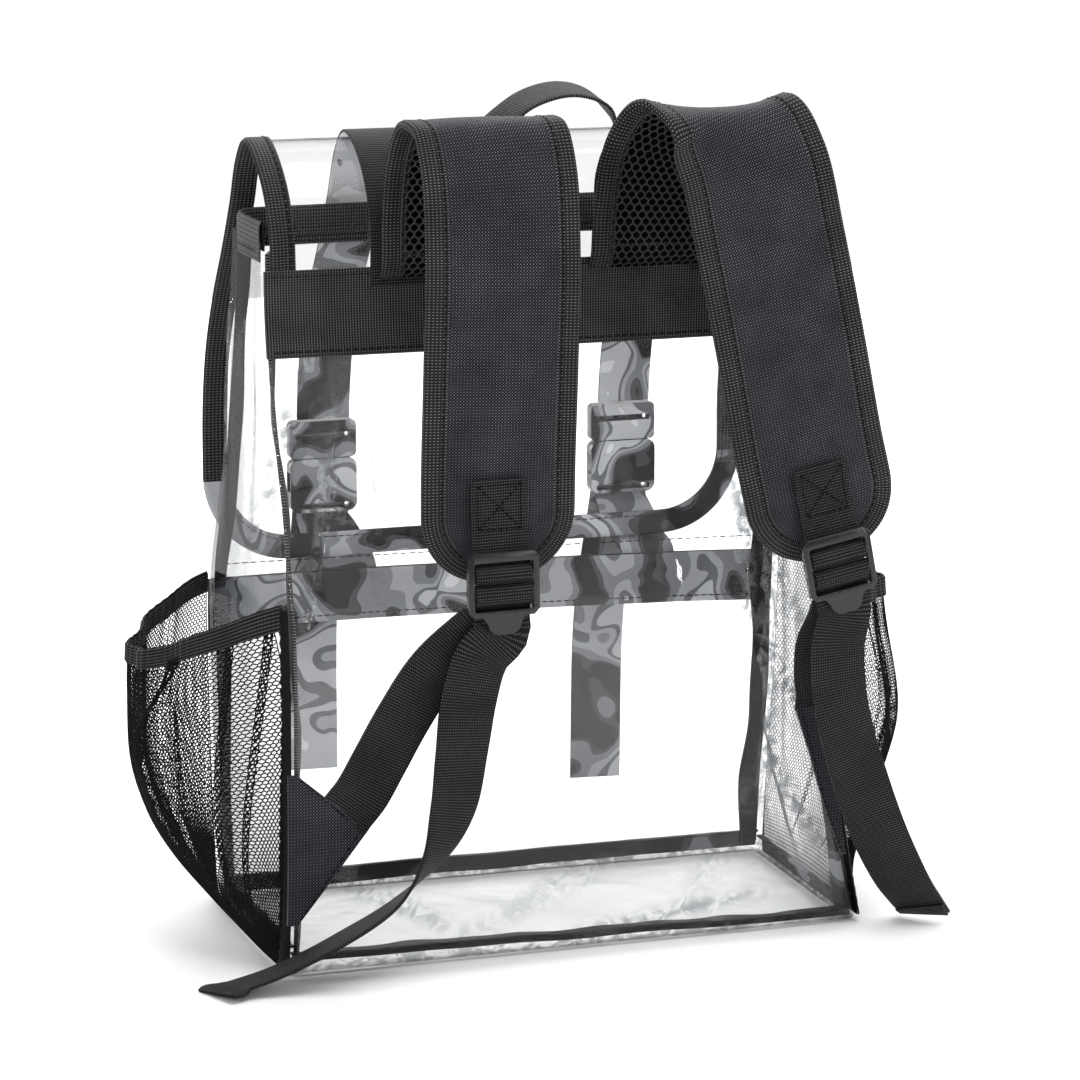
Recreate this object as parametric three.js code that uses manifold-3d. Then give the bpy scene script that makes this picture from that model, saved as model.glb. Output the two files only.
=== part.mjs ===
// Clear vinyl backpack with a covering flap, standing on its base.
// Millimetres, +Z up. The wearer's side faces -Y, the pocket side faces +Y.
// The origin is the middle of the base on the ground.
import * as THREE from 'three';
import { mergeVertices } from 'three/addons/utils/BufferGeometryUtils.js';
import Module from 'manifold-3d';

const wasm = await Module();
wasm.setup();

// Driving dimensions
const FILM = 1.2;
const GAP = 0.3;
const MOUTH_HEIGHT = 392;
const WALL_BOTTOM = FILM + GAP;
const PANEL_EDGE = 0.1;
const BINDING_GAP = 3 * GAP;
const SIDE_EDGE = FILM + 1;
const SEAM_INSET = 2.5;
const SEAM_GAP = 0.8;
const TAPE = { width: 13, thick: 2.4 };
const RIM = { height: 16, thick: 3, corner: 12, backGap: 6 };
const WEBBING = { width: 30, thick: 1.8 };
const BACK_BAND = { bottom: 322, top: 367 };
const HEM = { bottom: 148, top: 178, depth: 16 };
const FLAP = {
  rootHalf: 155, half: 157, widest: 70, corner: 48, drift: -4, binding: 13, bindingThick: 3, crowding: 1.6,
};
const FLAP_STRAP = { offset: 88, top: 0.2, bottom: 262.5 };
const PAD = {
  rootHalf: 40, half: 41, widest: 60, corner: 37, binding: 12, bindingThick: 6, crowding: 1.15,
  cover: { middle: 6.5, edge: 4.5 }, lining: { middle: 3, edge: 2.4 }, sewnShare: 0.6, sewnStretch: 1 / 6,
};
const LOCK = {
  plane: -118, width: 38, bottom: 2, top: 35.5, thick: 4, chamfer: 3,
  slots: {
    width: 31.6, round: 1.2,
    rows: [{ bottom: 5, height: 7.5 }, { bottom: 16, height: 5.8 }, { bottom: 24.8, height: 5.7 }],
  },
  thumb: { half: 11.5, flat: 3, drop: 3.5, round: 6 },
};
const BUCKLE = {
  plane: 103.5, joint: 240, width: 38, thick: 9, bar: { width: 31.5, height: 3 },
  socket: { height: 30, round: 5, bar: -26.5 },
  cavity: { width: 27, depth: 5.4, height: 24, middle: -11.9 },
  window: { width: 9, depth: 6.4, height: 11, middle: -13 },
  prong: { height: 21, thick: 8, round: 3, bar: 13 },
  arm: { width: 4.4, depth: 4.4, height: 19, middle: -8, offset: 10.4 },
  guide: { width: 4, depth: 3.6, height: 16, middle: -6.5 },
};
const ANCHOR_THICK = 2.4;
const MESH = { thick: 1.2, floor: 2.5, inset: 3, leastStand: 0.8, fullness: 0.75, folds: 5, foldDepth: 2.6 };
const ELASTIC = { thick: 2.6, from: 0.935, gap: 0.004 };
const COLOURS = {
  vinyl: { color: 0xe8eaec, roughness: 0.12, metalness: 0 },
  tape: { color: 0x1a1a1b, roughness: 0.85, metalness: 0 },
  webbing: { color: 0x1f1f20, roughness: 0.8, metalness: 0 },
  canvas: { color: 0x34343a, roughness: 0.9, metalness: 0 },
  mesh: { color: 0x161617, roughness: 0.9, metalness: 0 },
  plastic: { color: 0x2a2a2c, roughness: 0.45, metalness: 0 },
};

// Corner lines of the slumped body: a row for each height, with the back and front corner of one side
const LEFT_SIDE = [
  { z: 0, backX: -160, back: -75, frontX: -160, front: 79 },
  { z: 55, backX: -160, back: -82, frontX: -160, front: 85 },
  { z: 110, backX: -160, back: -84, frontX: -160, front: 89 },
  { z: 180, backX: -160, back: -83, frontX: -160, front: 89 },
  { z: 240, backX: -160, back: -69, frontX: -160, front: 61 },
  { z: 300, backX: -160, back: -47, frontX: -160, front: 44 },
  { z: 345, backX: -160, back: -38, frontX: -160, front: 34 },
  { z: 392, backX: -160, back: -38, frontX: -160, front: 25 },
];
const RIGHT_SIDE = [
  { z: 0, backX: 160, back: -75, frontX: 160, front: 76 },
  { z: 55, backX: 148, back: -79, frontX: 162, front: 74 },
  { z: 110, backX: 140, back: -81, frontX: 164, front: 70 },
  { z: 180, backX: 138, back: -80, frontX: 165, front: 67 },
  { z: 240, backX: 141, back: -69, frontX: 163, front: 55 },
  { z: 300, backX: 147, back: -48, frontX: 160, front: 43 },
  { z: 345, backX: 152, back: -38, frontX: 158, front: 34 },
  { z: 392, backX: 155, back: -38, frontX: 156, front: 25 },
];

// Side view of the flap: a row for each bend, from the back band over the ridge and down the front
const FLAP_PROFILE = [
  { y: -37.4, z: 367.4 },
  { y: -38, z: 386 },
  { y: -30, z: 407 },
  { y: -12, z: 424 },
  { y: 7, z: 429.5 },
  { y: 22, z: 417 },
  { y: 34, z: 394 },
  { y: 52, z: 366 },
  { y: 72, z: 338 },
  { y: 89, z: 305 },
  { y: 96, z: 272 },
  { y: 96, z: 240 },
  { y: 94, z: 212 },
  { y: 91.5, z: 187 },
];

// How far the front pocket stands off the front wall, as a share of its depth
const POCKET_SWELL = [
  { z: 0, swell: 0 },
  { z: 40, swell: 0.75 },
  { z: 90, swell: 1 },
  { z: 148, swell: 0.62 },
  { z: 178, swell: 0.45 },
];

// How far a side pocket bellies out from its wall, by share of its height
const MESH_SWELL = [
  { share: 0, swell: 0.06 },
  { share: 0.12, swell: 0.34 },
  { share: 0.26, swell: 0.64 },
  { share: 0.4, swell: 0.86 },
  { share: 0.56, swell: 1 },
  { share: 0.85, swell: 1 },
  { share: 1, swell: 0.97 },
];

// The two side pockets: depth of the belly, heights of the mouth at the first and last corner of the wall,
// how far the mouth dips between them, and the share of the belly that the elastic pulls in
const POCKETS = {
  left: { depth: 57, mouthStart: 184, mouthEnd: 200, mouthDip: 28, pull: 0 },
  right: { depth: 49, mouthStart: 190, mouthEnd: 188, mouthDip: 8, pull: 0.24 },
};

// Fabric corner that each adjuster strap is sewn into: a row for each height, with the distances of its
// two edges inwards from the back seam
const ANCHORS = {
  left: [
    { z: 30, near: 0.5, far: 3 },
    { z: 55, near: 0.5, far: 21.5 },
    { z: 80, near: 0.5, far: 40.5 },
    { z: 99, near: 0.5, far: 17 },
    { z: 112, near: 0.5, far: 2 },
  ],
  right: [
    { z: 40, near: 0.5, far: 3 },
    { z: 70, near: 0, far: 9 },
    { z: 100, near: -4, far: 14 },
    { z: 126, near: -9, far: 20.5 },
  ],
};

// Threading of the webbing at a ladder lock, from its middle plane (y) and its lower edge (z)
const TAB_THREAD = [
  { y: 4.7, z: 72 }, { y: 5.2, z: 56 }, { y: 4.9, z: 46 }, { y: 4.3, z: 39 }, { y: 3.7, z: 34 }, { y: 3.2, z: 30.4 },
  { y: 1.4, z: 28.1 }, { y: -1.2, z: 26.9 }, { y: -2.9, z: 25.4 }, { y: -3.4, z: 23.3 }, { y: -2.9, z: 21.2 },
  { y: -1.2, z: 19.9 }, { y: 1.6, z: 19.8 },
];
const LOCK_THREAD = [
  { y: 6, z: 2 }, { y: 5.7, z: 9 }, { y: 4.6, z: 14.2 }, { y: 3, z: 17 }, { y: 1.2, z: 17.7 }, { y: -1.2, z: 17.6 },
  { y: -3, z: 16.3 }, { y: -3.4, z: 14 }, { y: -3, z: 11.4 }, { y: -1.4, z: 9.4 }, { y: 0.8, z: 7.9 },
  { y: 2.9, z: 6 }, { y: 3.6, z: 3.2 }, { y: 3.7, z: -1 }, { y: 3.9, z: -8 },
];

// The two shoulder straps. pad: the middle line of the pad from the back band over the shoulder and down.
// run: the adjuster from its corner up to the lock. tail: its free end from the lock to the ground.
const X_AXIS = [1, 0, 0];
const SHOULDERS = {
  left: {
    lock: { x: -56, z: 194, tilt: 1 },
    pad: [
      { x: -58, y: -44.6, z: 367.8 }, { x: -58, y: -48, z: 395 }, { x: -56.5, y: -54, z: 424 },
      { x: -54.5, y: -65, z: 440.5 }, { x: -51.5, y: -82, z: 440 }, { x: -50, y: -93.5, z: 420 },
      { x: -50, y: -99.5, z: 378 }, { x: -53, y: -105, z: 320 }, { x: -55, y: -106.5, z: 270 },
      { x: -55, y: -105.5, z: 238 }, { x: -54, y: -102.5, z: 211 },
    ],
    run: [
      { x: -130.6, y: -86.1, z: 90.6, across: [0.78, 0, -0.63] },
      { x: -124, y: -88, z: 99.5, across: [0.78, 0, -0.63] },
      { x: -115, y: -91, z: 117, across: [0.84, 0, -0.54] },
      { x: -103, y: -97, z: 142, across: [0.88, 0, -0.47] },
      { x: -88, y: -103, z: 167, across: [0.88, 0, -0.47] },
      { x: -68, y: -109.5, z: 187, across: [0.96, 0, -0.28] },
    ],
    tail: [
      { x: -66, y: -112.5, z: 174, across: X_AXIS },
      { x: -72, y: -109.5, z: 152, across: X_AXIS },
      { x: -75.5, y: -107, z: 122, across: [0.98, 0.17, 0.05] },
      { x: -79.5, y: -105.5, z: 93, across: [0.93, 0.33, 0.1] },
      { x: -89, y: -104.5, z: 68, across: [0.8, 0.6, 0] },
      { x: -109, y: -102, z: 44, across: [0.4, 0.9, 0.1] },
      { x: -142, y: -98.5, z: 24, across: [0.15, 0.98, 0.1] },
      { x: -172, y: -92, z: 9, across: [0.3, 0.95, 0] },
      { x: -191, y: -90, z: 3.2, across: [0.55, 0.83, 0] },
      { x: -205, y: -96, z: 2.2, across: [0.66, 0.75, 0] },
    ],
  },
  right: {
    lock: { x: 132, z: 192, tilt: 11 },
    pad: [
      { x: 56, y: -44.6, z: 367.8 }, { x: 57, y: -48, z: 395 }, { x: 61, y: -54, z: 424 },
      { x: 69, y: -65, z: 440.5 }, { x: 79, y: -82, z: 441 }, { x: 87, y: -93.5, z: 421 },
      { x: 95, y: -99.5, z: 380 }, { x: 106, y: -105, z: 320 }, { x: 115, y: -106.5, z: 272 },
      { x: 123, y: -105.5, z: 238 }, { x: 128, y: -102.5, z: 211 },
    ],
    run: [
      { x: 133.5, y: -83.8, z: 127.4, across: X_AXIS },
      { x: 133.2, y: -86, z: 134, across: X_AXIS },
      { x: 130, y: -91, z: 145, across: X_AXIS },
      { x: 127, y: -100, z: 165, across: X_AXIS },
      { x: 130, y: -108.5, z: 183, across: [0.98, 0, 0.15] },
    ],
    tail: [
      { x: 131, y: -112.5, z: 166, across: X_AXIS },
      { x: 133, y: -110, z: 140, across: X_AXIS },
      { x: 139, y: -108, z: 114, across: X_AXIS },
      { x: 148, y: -105, z: 88, across: X_AXIS },
      { x: 162, y: -100, z: 55, across: X_AXIS },
      { x: 180, y: -93, z: 25, across: X_AXIS },
      { x: 192, y: -88, z: 11.5, across: X_AXIS },
      { x: 196, y: -85.5, z: 6, across: [0.99, -0.12, 0] },
      { x: 196.4, y: -83.6, z: 3.8, across: [0.99, -0.12, 0] },
    ],
  },
};

// Carrying loop at the top of the back: it turns on edge between its two sewn ends
const HANDLE_ROUTE = [
  { x: -33, y: -39.5, z: 367.6, across: [1, 0, 0] },
  { x: -34, y: -40, z: 398, across: [1, 0, 0] },
  { x: -34, y: -35.5, z: 416, across: [0.87, -0.5, 0] },
  { x: -33, y: -33, z: 434, across: [0.4, -0.9, 0] },
  { x: -19, y: -32, z: 448, across: [0, -0.99, -0.14] },
  { x: 6, y: -31.5, z: 454.5, across: [0, -0.99, -0.14] },
  { x: 25, y: -32, z: 448, across: [0, -0.99, -0.14] },
  { x: 34, y: -33, z: 432, across: [-0.4, -0.9, 0] },
  { x: 34, y: -35.5, z: 416, across: [-0.87, -0.5, 0] },
  { x: 34, y: -40, z: 398, across: [-1, 0, 0] },
  { x: 33, y: -39.5, z: 367.6, across: [-1, 0, 0] },
];

// The two front straps: side of the flap, lean of the webbing between buckle and pocket hem, and sideways
// drift and lower end of the free tail
const FRONT_STRAPS = {
  left: { sign: -1, lowerLean: 14, tailDrift: -6.5, tailBottom: 60.5 },
  right: { sign: 1, lowerLean: 10, tailDrift: -13.5, tailBottom: 41.5 },
};

// Values of a table's other columns at any place of its key column
function table(rows, key) {
  const names = Object.keys(rows[0]).filter((name) => name !== key);
  const places = rows.map((row) => row[key]);
  const values = rows.flatMap((row) => names.map((name) => row[name]));
  const line = new THREE.CubicInterpolant(places, values, names.length);
  return (place) => {
    const found = line.evaluate(place);
    return Object.fromEntries(names.map((name, index) => [name, found[index]]));
  };
}

const lerp = THREE.MathUtils.lerp;

// Geometry with its shared corners merged, so that it is one closed skin
function closed(geometry) {
  geometry.deleteAttribute('normal');
  geometry.deleteAttribute('uv');
  const merged = mergeVertices(geometry, 1e-4);
  merged.computeVertexNormals();
  return merged;
}

// Thin closed wall: a flat box bent onto the surface that place(u, v) gives, u across and v along
function sheet(columns, rows, place, thickness) {
  const geometry = new THREE.BoxGeometry(1, 1, 1, columns, rows, 1);
  const position = geometry.attributes.position;
  const step = 1e-3;
  for (let index = 0; index < position.count; index += 1) {
    const u = position.getX(index) + 0.5;
    const v = position.getY(index) + 0.5;
    const across = place(Math.min(u + step, 1), v).sub(place(Math.max(u - step, 0), v));
    const along = place(u, Math.min(v + step, 1)).sub(place(u, Math.max(v - step, 0)));
    const normal = across.cross(along).normalize();
    const depth = position.getZ(index) * (typeof thickness === 'function' ? thickness(u, v) : thickness);
    const point = place(u, v).addScaledVector(normal, depth);
    position.setXYZ(index, point.x, point.y, point.z);
  }
  return closed(geometry);
}

// Flat webbing swept along a route of rows with a place and a direction across
function webbing(route, steps, width = WEBBING.width, thickness = WEBBING.thick) {
  const middle = new THREE.CatmullRomCurve3(route.map((row) => new THREE.Vector3(row.x, row.y, row.z)));
  const sides = new THREE.CatmullRomCurve3(route.map((row) => new THREE.Vector3(...row.across)));
  const place = (u, v) => {
    const tangent = middle.getTangent(v);
    const across = sides.getPoint(v);
    across.addScaledVector(tangent, -across.dot(tangent)).normalize();
    return middle.getPoint(v).addScaledVector(across, (u - 0.5) * width);
  };
  return sheet(1, steps, place, thickness);
}

// Solid and geometry forms of the same closed mesh
function solidOf(geometry) {
  const skin = closed(geometry);
  return new wasm.Manifold(new wasm.Mesh({
    numProp: 3,
    vertProperties: new Float32Array(skin.attributes.position.array),
    triVerts: new Uint32Array(skin.index.array),
  }));
}

function geometryOf(solid) {
  const mesh = solid.getMesh();
  const geometry = new THREE.BufferGeometry();
  geometry.setAttribute('position', new THREE.BufferAttribute(new Float32Array(mesh.vertProperties), 3));
  geometry.setIndex(new THREE.BufferAttribute(new Uint32Array(mesh.triVerts), 1));
  geometry.computeVertexNormals();
  return geometry;
}

function block(width, depth, height, x, y, z) {
  return solidOf(new THREE.BoxGeometry(width, depth, height).translate(x, y, z));
}

// Upright plate: a shape drawn in width and height, thick along Y about its own middle plane
function plate(shape, thickness, curveSegments = 4) {
  const geometry = new THREE.ExtrudeGeometry(shape, { depth: thickness, bevelEnabled: false, curveSegments });
  return geometry.rotateX(Math.PI / 2).translate(0, thickness / 2, 0);
}

function roundedRectangle(path, left, bottom, width, height, radius) {
  const right = left + width;
  const top = bottom + height;
  path.moveTo(left + radius, bottom);
  path.lineTo(right - radius, bottom);
  path.absarc(right - radius, bottom + radius, radius, -Math.PI / 2, 0, false);
  path.lineTo(right, top - radius);
  path.absarc(right - radius, top - radius, radius, 0, Math.PI / 2, false);
  path.lineTo(left + radius, top);
  path.absarc(left + radius, top - radius, radius, Math.PI / 2, Math.PI, false);
  path.lineTo(left, bottom + radius);
  path.absarc(left + radius, bottom + radius, radius, Math.PI, Math.PI * 1.5, false);
  return path;
}

// Body walls
const sides = { left: table(LEFT_SIDE, 'z'), right: table(RIGHT_SIDE, 'z') };

function corner(name, z) {
  const row = sides[name.endsWith('Left') ? 'left' : 'right'](z);
  if (name.startsWith('back')) return new THREE.Vector2(row.backX, row.back);
  return new THREE.Vector2(row.frontX, row.front);
}

const WALLS = {
  back: { from: 'backLeft', to: 'backRight', belly: 3 },
  right: { from: 'backRight', to: 'frontRight', belly: 5 },
  front: { from: 'frontRight', to: 'frontLeft', belly: 3 },
  left: { from: 'frontLeft', to: 'backLeft', belly: 5 },
};

// Point on a wall, a share of the way along it at a height, moved outwards
function wallPoint(wallName, share, z, outwards) {
  const wall = WALLS[wallName];
  const start = corner(wall.from, z);
  const chord = corner(wall.to, z).sub(start);
  const normal = new THREE.Vector2(chord.y, -chord.x).normalize();
  const belly = wall.belly * Math.sin(Math.PI * share) * Math.sin(Math.PI * z / MOUTH_HEIGHT);
  const point = start.addScaledVector(chord, share).addScaledVector(normal, outwards + belly);
  return new THREE.Vector3(point.x, point.y, z);
}

// Share along a wall of a distance from its first corner, or from its last one where it is negative
function wallShare(wallName, distance, z) {
  const wall = WALLS[wallName];
  const length = corner(wall.to, z).distanceTo(corner(wall.from, z));
  return (distance < 0 ? length + distance : distance) / length;
}

// Upright band on a wall between two distances along it and two heights
function wallBand(wallName, ends, bottom, top, outwards, thickness, columns, rows) {
  const place = (u, v) => {
    const z = lerp(bottom, top, v);
    const share = lerp(wallShare(wallName, ends[0], z), wallShare(wallName, ends[1], z), u);
    const offset = typeof outwards === 'function' ? outwards(share, z) : outwards;
    return wallPoint(wallName, share, z, offset);
  };
  return sheet(columns, rows, place, thickness);
}

// Flat tape on the floor of the body along the foot of a wall
function footTape(wallName, endInset) {
  const height = FILM + GAP + TAPE.thick / 2;
  const place = (u, v) => {
    const share = lerp(wallShare(wallName, endInset, height), wallShare(wallName, -endInset, height), u);
    return wallPoint(wallName, share, height, -SEAM_INSET - v * TAPE.width);
  };
  return sheet(8, 1, place, TAPE.thick);
}

function basePanel() {
  const names = ['backLeft', 'backRight', 'frontRight', 'frontLeft'];
  const shape = new THREE.Shape(names.map((name) => corner(name, 0)));
  return closed(new THREE.ExtrudeGeometry(shape, { depth: FILM, bevelEnabled: false }));
}

// Folded tape round the mouth, open at the back where the flap rises
function rimBinding() {
  const height = MOUTH_HEIGHT - RIM.height / 2;
  const points = ['backRight', 'frontRight', 'frontLeft', 'backLeft'].map((name) => corner(name, height));
  const inwards = RIM.thick / 2;
  const nearBack = points[0].y + RIM.backGap;
  const nearFront = points[1].y - inwards;
  const right = points[1].x - inwards;
  const left = points[2].x + inwards;
  const path = new THREE.Path();
  path.moveTo(points[0].x - inwards, nearBack);
  path.lineTo(right, nearFront - RIM.corner);
  path.quadraticCurveTo(right, nearFront, right - RIM.corner, nearFront);
  path.lineTo(left + RIM.corner, nearFront);
  path.quadraticCurveTo(left, nearFront, left, nearFront - RIM.corner);
  path.lineTo(points[3].x + inwards, nearBack);
  const place = (u, v) => {
    const point = path.getPoint(u);
    return new THREE.Vector3(point.x, point.y, MOUTH_HEIGHT - RIM.height * (1 - v));
  };
  return sheet(28, 1, place, RIM.thick);
}

// A tongue is a strip with a rounded free end: the flap, or a shoulder pad
function tongueHalf(tongue, length, along, inset) {
  const round = along - (length - tongue.corner);
  if (round > 0) {
    const radius = tongue.corner - inset;
    return tongue.half - tongue.corner + Math.sqrt(Math.max(radius * radius - round * round, 0));
  }
  return lerp(tongue.rootHalf, tongue.half, Math.min(along / tongue.widest, 1)) - inset;
}

function tongueOutline(tongue, length) {
  const { rootHalf, half, widest, corner: radius } = tongue;
  const outline = new THREE.Path();
  outline.moveTo(-rootHalf, 0);
  outline.lineTo(-half, widest);
  outline.lineTo(-half, length - radius);
  outline.absarc(radius - half, length - radius, radius, Math.PI, Math.PI / 2, true);
  outline.lineTo(half - radius, length);
  outline.absarc(half - radius, length - radius, radius, Math.PI / 2, 0, true);
  outline.lineTo(half, widest);
  outline.lineTo(rootHalf, 0);
  return outline;
}

// Tape sewn round the edge of a tongue; surface(x, along) is the tongue's middle surface
function tongueBinding(tongue, length, surface, steps, thickness) {
  const outline = tongueOutline(tongue, length);
  const place = (u, v) => {
    const edge = outline.getPoint(v);
    const tangent = outline.getTangent(v);
    const x = edge.x + tangent.y * tongue.binding * u;
    const along = edge.y - tangent.x * tongue.binding * u;
    return surface(x, THREE.MathUtils.clamp(along, 0, length));
  };
  return sheet(1, steps, place, thickness);
}

// The tongue inside its binding, with its rows closer together towards the rounded end
function tongueBody(tongue, length, surface, columns, rows, thickness) {
  const inset = tongue.binding + BINDING_GAP;
  const place = (u, v) => {
    const along = (length - inset) * (1 - (1 - v) ** tongue.crowding);
    return surface((2 * u - 1) * tongueHalf(tongue, length, along, inset), along);
  };
  return sheet(columns, rows, place, thickness);
}

// Flap
const flapCurve = new THREE.SplineCurve(FLAP_PROFILE.map(({ y, z }) => new THREE.Vector2(y, z)));
const flapLength = flapCurve.getLength();

function flapPoint(x, along, outwards) {
  const share = THREE.MathUtils.clamp(along / flapLength, 0, 1);
  const point = flapCurve.getPointAt(share);
  const tangent = flapCurve.getTangentAt(share);
  return new THREE.Vector3(
    x + FLAP.drift * share, point.x - tangent.y * outwards, point.y + tangent.x * outwards,
  );
}

// Length along the flap's front at which it is down to a height
function flapReach(height) {
  const step = 0.25;
  let along = flapLength;
  while (flapCurve.getPointAt(along / flapLength).y < height) along -= step;
  return along;
}

// Front pocket
const pocketSwell = table(POCKET_SWELL, 'z');

function pocketStand(share, z) {
  return FILM / 2 + GAP + HEM.depth * pocketSwell(z).swell * Math.sqrt(Math.sin(Math.PI * share));
}

// Side pockets of mesh, bellied out and gathered into folds by the elastic at the mouth
const meshSwell = table(MESH_SWELL, 'share');

function meshPoint(side, share, rise) {
  const pocket = POCKETS[side];
  const arch = Math.sin(Math.PI * share);
  const mouth = lerp(pocket.mouthStart, pocket.mouthEnd, share) - pocket.mouthDip * arch;
  const z = lerp(MESH.floor, mouth, rise);
  const fold = MESH.foldDepth * arch * rise * Math.cos(2 * Math.PI * MESH.folds * share);
  const pulled = 1 - pocket.pull * THREE.MathUtils.smoothstep(rise, 0.5, 1);
  const belly = pocket.depth * pulled * meshSwell(rise).swell * arch ** MESH.fullness;
  const along = lerp(wallShare(side, MESH.inset, z), wallShare(side, -MESH.inset, z), share);
  return wallPoint(side, along, z, GAP + MESH.thick / 2 + Math.max(belly + fold, MESH.leastStand));
}

function meshBand(side, bottom, top, rows, thickness) {
  return sheet(20, rows, (u, v) => meshPoint(side, u, lerp(bottom, top, v)), thickness);
}

// Shoulder straps
function padSurface(rows, offset) {
  const middle = new THREE.CatmullRomCurve3(rows.map(({ x, y, z }) => new THREE.Vector3(x, y, z)));
  const length = middle.getLength();
  const point = (across, along) => {
    const share = THREE.MathUtils.clamp(along / length, 0, 1);
    const tangent = middle.getTangentAt(share);
    const side = new THREE.Vector3(1, 0, 0).addScaledVector(tangent, -tangent.x).normalize();
    const outer = new THREE.Vector3().crossVectors(tangent, side);
    return middle.getPointAt(share).addScaledVector(side, across).addScaledVector(outer, offset);
  };
  return { length, point };
}

// Thickness of a pad layer: pressed flat where it is sewn in, crowned across its middle
function padThickness({ middle, edge }) {
  return (u, v) => {
    const crowned = lerp(edge, middle, 1 - (2 * u - 1) ** 2);
    return lerp(edge * PAD.sewnShare, crowned, Math.min(v / PAD.sewnStretch, 1));
  };
}

function ladderLock() {
  const half = LOCK.width / 2;
  const { bottom, top, chamfer, thumb, slots } = LOCK;
  const shape = new THREE.Shape();
  shape.moveTo(-half, bottom + chamfer);
  shape.lineTo(-half + chamfer, bottom);
  shape.lineTo(-thumb.half, bottom);
  shape.absarc(-thumb.flat, bottom - thumb.drop, thumb.round, Math.PI, Math.PI * 1.5, false);
  shape.absarc(thumb.flat, bottom - thumb.drop, thumb.round, Math.PI * 1.5, Math.PI * 2, false);
  shape.lineTo(thumb.half, bottom);
  shape.lineTo(half - chamfer, bottom);
  shape.lineTo(half, bottom + chamfer);
  shape.lineTo(half, top - chamfer);
  shape.lineTo(half - chamfer, top);
  shape.lineTo(-half + chamfer, top);
  shape.lineTo(-half, top - chamfer);
  for (const row of slots.rows) {
    const slot = new THREE.Path();
    roundedRectangle(slot, -slots.width / 2, row.bottom, slots.width, row.height, slots.round);
    shape.holes.push(slot);
  }
  return closed(plate(shape, LOCK.thick, 2));
}

// A webbing route in the frame of a leaning lock, as rows in the frame of the bag
function atLock(lock, rows) {
  const lean = THREE.MathUtils.degToRad(lock.tilt);
  return rows.map(({ y, z }) => ({
    x: lock.x - z * Math.sin(lean),
    y: LOCK.plane + y,
    z: lock.z + z * Math.cos(lean),
    across: [Math.cos(lean), 0, Math.sin(lean)],
  }));
}

// Fabric corner sewn into the back seam
function strapAnchor(side) {
  const rows = ANCHORS[side];
  const spans = rows.length - 1;
  const place = (u, v) => {
    const row = Math.min(Math.floor(v * spans), spans - 1);
    const between = (name) => lerp(rows[row][name], rows[row + 1][name], v * spans - row);
    const z = between('z');
    const [first, last] = side === 'left' ? ['near', 'far'] : ['far', 'near'];
    const inwards = lerp(between(first), between(last), u);
    const length = corner('backRight', z).distanceTo(corner('backLeft', z));
    const share = side === 'left' ? inwards / length : 1 - inwards / length;
    return wallPoint('back', share, z, 2 * GAP + ANCHOR_THICK / 2);
  };
  return sheet(2, 2 * spans, place, ANCHOR_THICK);
}

// Side-release buckle: a hollow socket with windows in its sides, and a prong that reaches into it
function barSlot(z) {
  return block(BUCKLE.bar.width, 2 * BUCKLE.thick, BUCKLE.bar.height, 0, 0, z);
}

function buckleSocket() {
  const { width, thick, socket, cavity, window } = BUCKLE;
  const outline = roundedRectangle(
    new THREE.Shape(), -width / 2, -socket.height, width, socket.height, socket.round,
  );
  const openings = [
    block(cavity.width, cavity.depth, cavity.height, 0, 0, cavity.middle),
    block(window.width, window.depth, window.height, -width / 2, 0, window.middle),
    block(window.width, window.depth, window.height, width / 2, 0, window.middle),
    barSlot(socket.bar),
  ];
  const shell = openings.reduce((body, opening) => body.subtract(opening), solidOf(plate(outline, thick)));
  return geometryOf(shell);
}

function buckleProng() {
  const { width, prong, arm, guide } = BUCKLE;
  const outline = roundedRectangle(new THREE.Shape(), -width / 2, GAP, width, prong.height, prong.round);
  const head = solidOf(plate(outline, prong.thick)).subtract(barSlot(prong.bar));
  const fingers = [
    block(arm.width, arm.depth, arm.height, -arm.offset, 0, arm.middle),
    block(guide.width, guide.depth, guide.height, 0, 0, guide.middle),
    block(arm.width, arm.depth, arm.height, arm.offset, 0, arm.middle),
  ];
  return geometryOf(fingers.reduce((body, finger) => body.add(finger), head));
}

// Scene graph
const backpack = new THREE.Group();
backpack.name = 'backpack';

function addPiece(name, geometry, finish, position = [0, 0, 0], tilt = 0) {
  const mesh = new THREE.Mesh(geometry, new THREE.MeshStandardMaterial(COLOURS[finish]));
  mesh.name = name;
  mesh.position.set(...position);
  mesh.rotation.y = -THREE.MathUtils.degToRad(tilt);
  backpack.add(mesh);
}

// Clear film walls
const filmMiddle = -FILM / 2;
const rimBottom = MOUTH_HEIGHT - RIM.height - GAP;
const wholeWidth = [PANEL_EDGE, -PANEL_EDGE];
const betweenPanels = [SIDE_EDGE, -SIDE_EDGE];
addPiece('base_panel', basePanel(), 'vinyl');
const filmWall = (wall, ends, top, columns, rows, outwards = filmMiddle) => (
  wallBand(wall, ends, WALL_BOTTOM, top, outwards, FILM, columns, rows)
);
addPiece('back_panel', filmWall('back', wholeWidth, BACK_BAND.top, 6, 14), 'vinyl');
addPiece('front_panel', filmWall('front', wholeWidth, rimBottom, 6, 12), 'vinyl');
for (const side of ['left', 'right']) {
  addPiece(`${side}_panel`, filmWall(side, betweenPanels, rimBottom, 4, 12), 'vinyl');
}
addPiece('pocket_panel', filmWall('front', wholeWidth, HEM.bottom - GAP, 12, 7, pocketStand), 'vinyl');

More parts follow.
